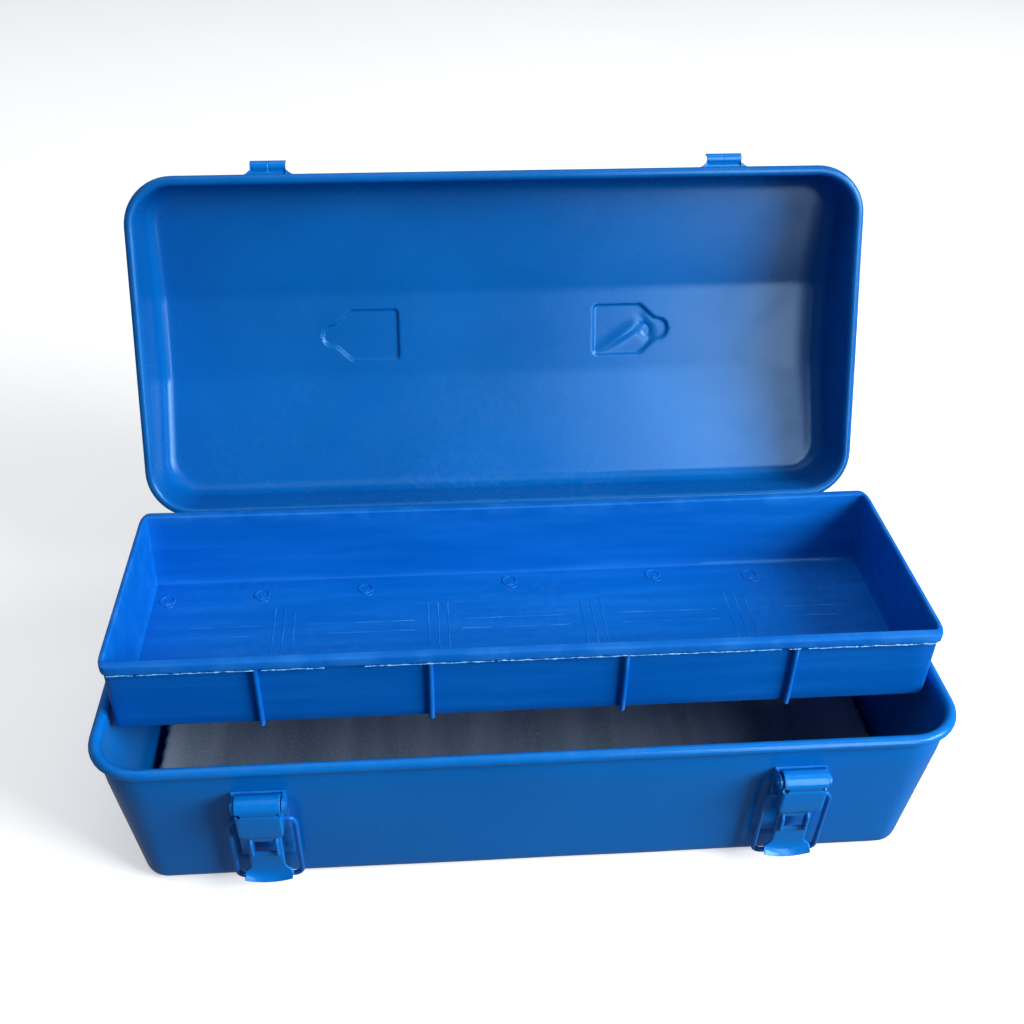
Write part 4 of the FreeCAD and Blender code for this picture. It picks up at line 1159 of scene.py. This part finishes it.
settle(build_tub(), "tub", "blue_steel", "base_tub")
settle(build_lid(), "lid", "blue_steel_lid", "lid_shell")
settle(build_tray(), "tray", "blue_plastic", "tray")
for piece in (build_tray_ribs(), build_tray_marks(), *build_tray_rings(), build_tray_flash()):
    settle(piece, "tray", "blue_plastic")
settle(build_mat(), "tub", "grey_mat", "base_mat")
for side in SIDES:
    settle(build_lever(side), f"latch_{side}", "latch_steel", f"latch_lever_{side}")
    settle(build_tongue_ribs(side), f"latch_{side}", "latch_steel")
    settle(build_bail(side), f"bail_{side}", "wire_steel", f"latch_bail_{side}")
    settle(build_keeper(side), "lid", "blue_steel_lid", f"keeper_{side}")
settle(build_handle_rod(), "handle", "wire_steel", "handle_rod")
settle(build_grip(), "handle", "grip_plastic", "handle_grip")
build_weld_marks()

KEPT_NODES = {
    "tray_rest": tub_paint, "hinge_tub_leaf": tub_paint, "hinge_lid_leaf": lid_shaded_paint, "hinge_pin": zinc,
    "latch_plate": latch_lit_paint, "latch_pin": latch_lit_paint, "handle_bracket": lid_shaded_paint,
}
for start, finish in KEPT_NODES.items():
    for side in SIDES:
        part = frame["nodes"][f"{start}_{side}"]
        part.data.materials.clear()
        part.data.materials.append(finish)


# Floor, light and camera

def build_floor():
    """A wide white floor that shows only to the camera."""
    finish, shader, place = new_finish("studio_floor")
    cloud = spread(speckle(place, 2.0, 2.0), 0.3, 0.7)
    color = mixed(cloud, (0.86, 0.86, 0.86, 1), (0.9, 0.9, 0.9, 1))
    plug_in(shader, Base_Color=color, Roughness=0.9, Specular_IOR_Level=0.1,
            Emission_Color=(1, 1, 1, 1), Emission_Strength=0.4)
    reach, drop = 14000, -0.3
    corners = ((-reach, -reach, drop), (reach, -reach, drop), (reach, reach, drop), (-reach, reach, drop))
    mesh = raw_mesh("studio_floor", corners, [], [(0, 1, 2, 3)])
    floor = finish_piece("studio_floor", mesh, finish, None, 0)
    floor.visible_glossy = False
    floor.visible_diffuse = False


def stand(thing, place, turn):
    thing.location = place
    thing.rotation_mode = "QUATERNION"
    thing.rotation_quaternion = turn


def soft_light(name, place, aim, size, power, color=(1, 1, 1), mirrored_only=False):
    lamp = bpy.data.lights.new(name, "AREA")
    lamp.shape = "RECTANGLE"
    lamp.size, lamp.size_y = size
    lamp.energy = power
    lamp.color = color
    holder = in_scene(name, lamp)
    stand(holder, place, (Vector(aim) - Vector(place)).to_track_quat("-Z", "Y"))
    holder.visible_diffuse = not mirrored_only


def build_camera():
    """The photograph's viewpoint, solved from the box's own edges."""
    yaw, pitch, roll = (radians(value) for value in (4.1029, -32.1125, 0.4321))
    ahead = Vector((sin(yaw) * cos(pitch), cos(yaw) * cos(pitch), sin(pitch)))
    right = Vector((cos(yaw), -sin(yaw), 0))
    up = right.cross(ahead)
    level_right = right * cos(roll) + up * sin(roll)
    level_up = up * cos(roll) - right * sin(roll)
    turn = Matrix((level_right, level_up, -ahead)).transposed()
    lens = bpy.data.cameras.new("camera")
    focus, across, down = 1257.02, 498.61, 462.99
    lens.sensor_width = 36
    lens.lens = focus / PHOTO * 36
    lens.shift_x = (PHOTO / 2 - across) / PHOTO
    lens.shift_y = (down - PHOTO / 2) / PHOTO
    lens.clip_start = 0.01
    camera = in_scene("camera", lens)
    stand(camera, Vector((-41.275, -443.563, 443.948)) * MM, turn.to_quaternion())
    bpy.context.scene.camera = camera


def build_world():
    """A pale sky lights the box, and the camera sees plain white past the floor."""
    world = bpy.data.worlds.new("studio")
    world.use_nodes = True
    tree = world.node_tree
    sky = plug_in(tree.nodes["Background"], Color=(0.85, 0.93, 1, 1), Strength=0.24)
    seen = node(tree, "ShaderNodeBackground", {"Color": (1, 1, 1, 1)})
    path = node(tree, "ShaderNodeLightPath")
    either = node(tree, "ShaderNodeMixShader",
                  {0: path.outputs["Is Camera Ray"], 1: sky.outputs[0], 2: seen.outputs[0]})
    tree.links.new(either.outputs[0], tree.nodes["World Output"].inputs["Surface"])
    bpy.context.scene.world = world


build_floor()
MIDDLE = Vector((0, 0.05, 0.1))
soft_light("key_window", MIDDLE + Vector((1.35, -0.82, 0.76)), MIDDLE, (1.0, 0.8), 54)
soft_light("top_panel", MIDDLE + Vector((-0.1, 0.1, 2.4)), MIDDLE, (2.6, 2.6), 22)
soft_light("window", (0.43, -0.9, 0.5), (0.13, 0.12, 0.2), (0.26, 1.2), 24, (0.46, 0.42, 0.45), True)
build_camera()
build_world()
bpy.context.scene.view_settings.view_transform = "Standard"
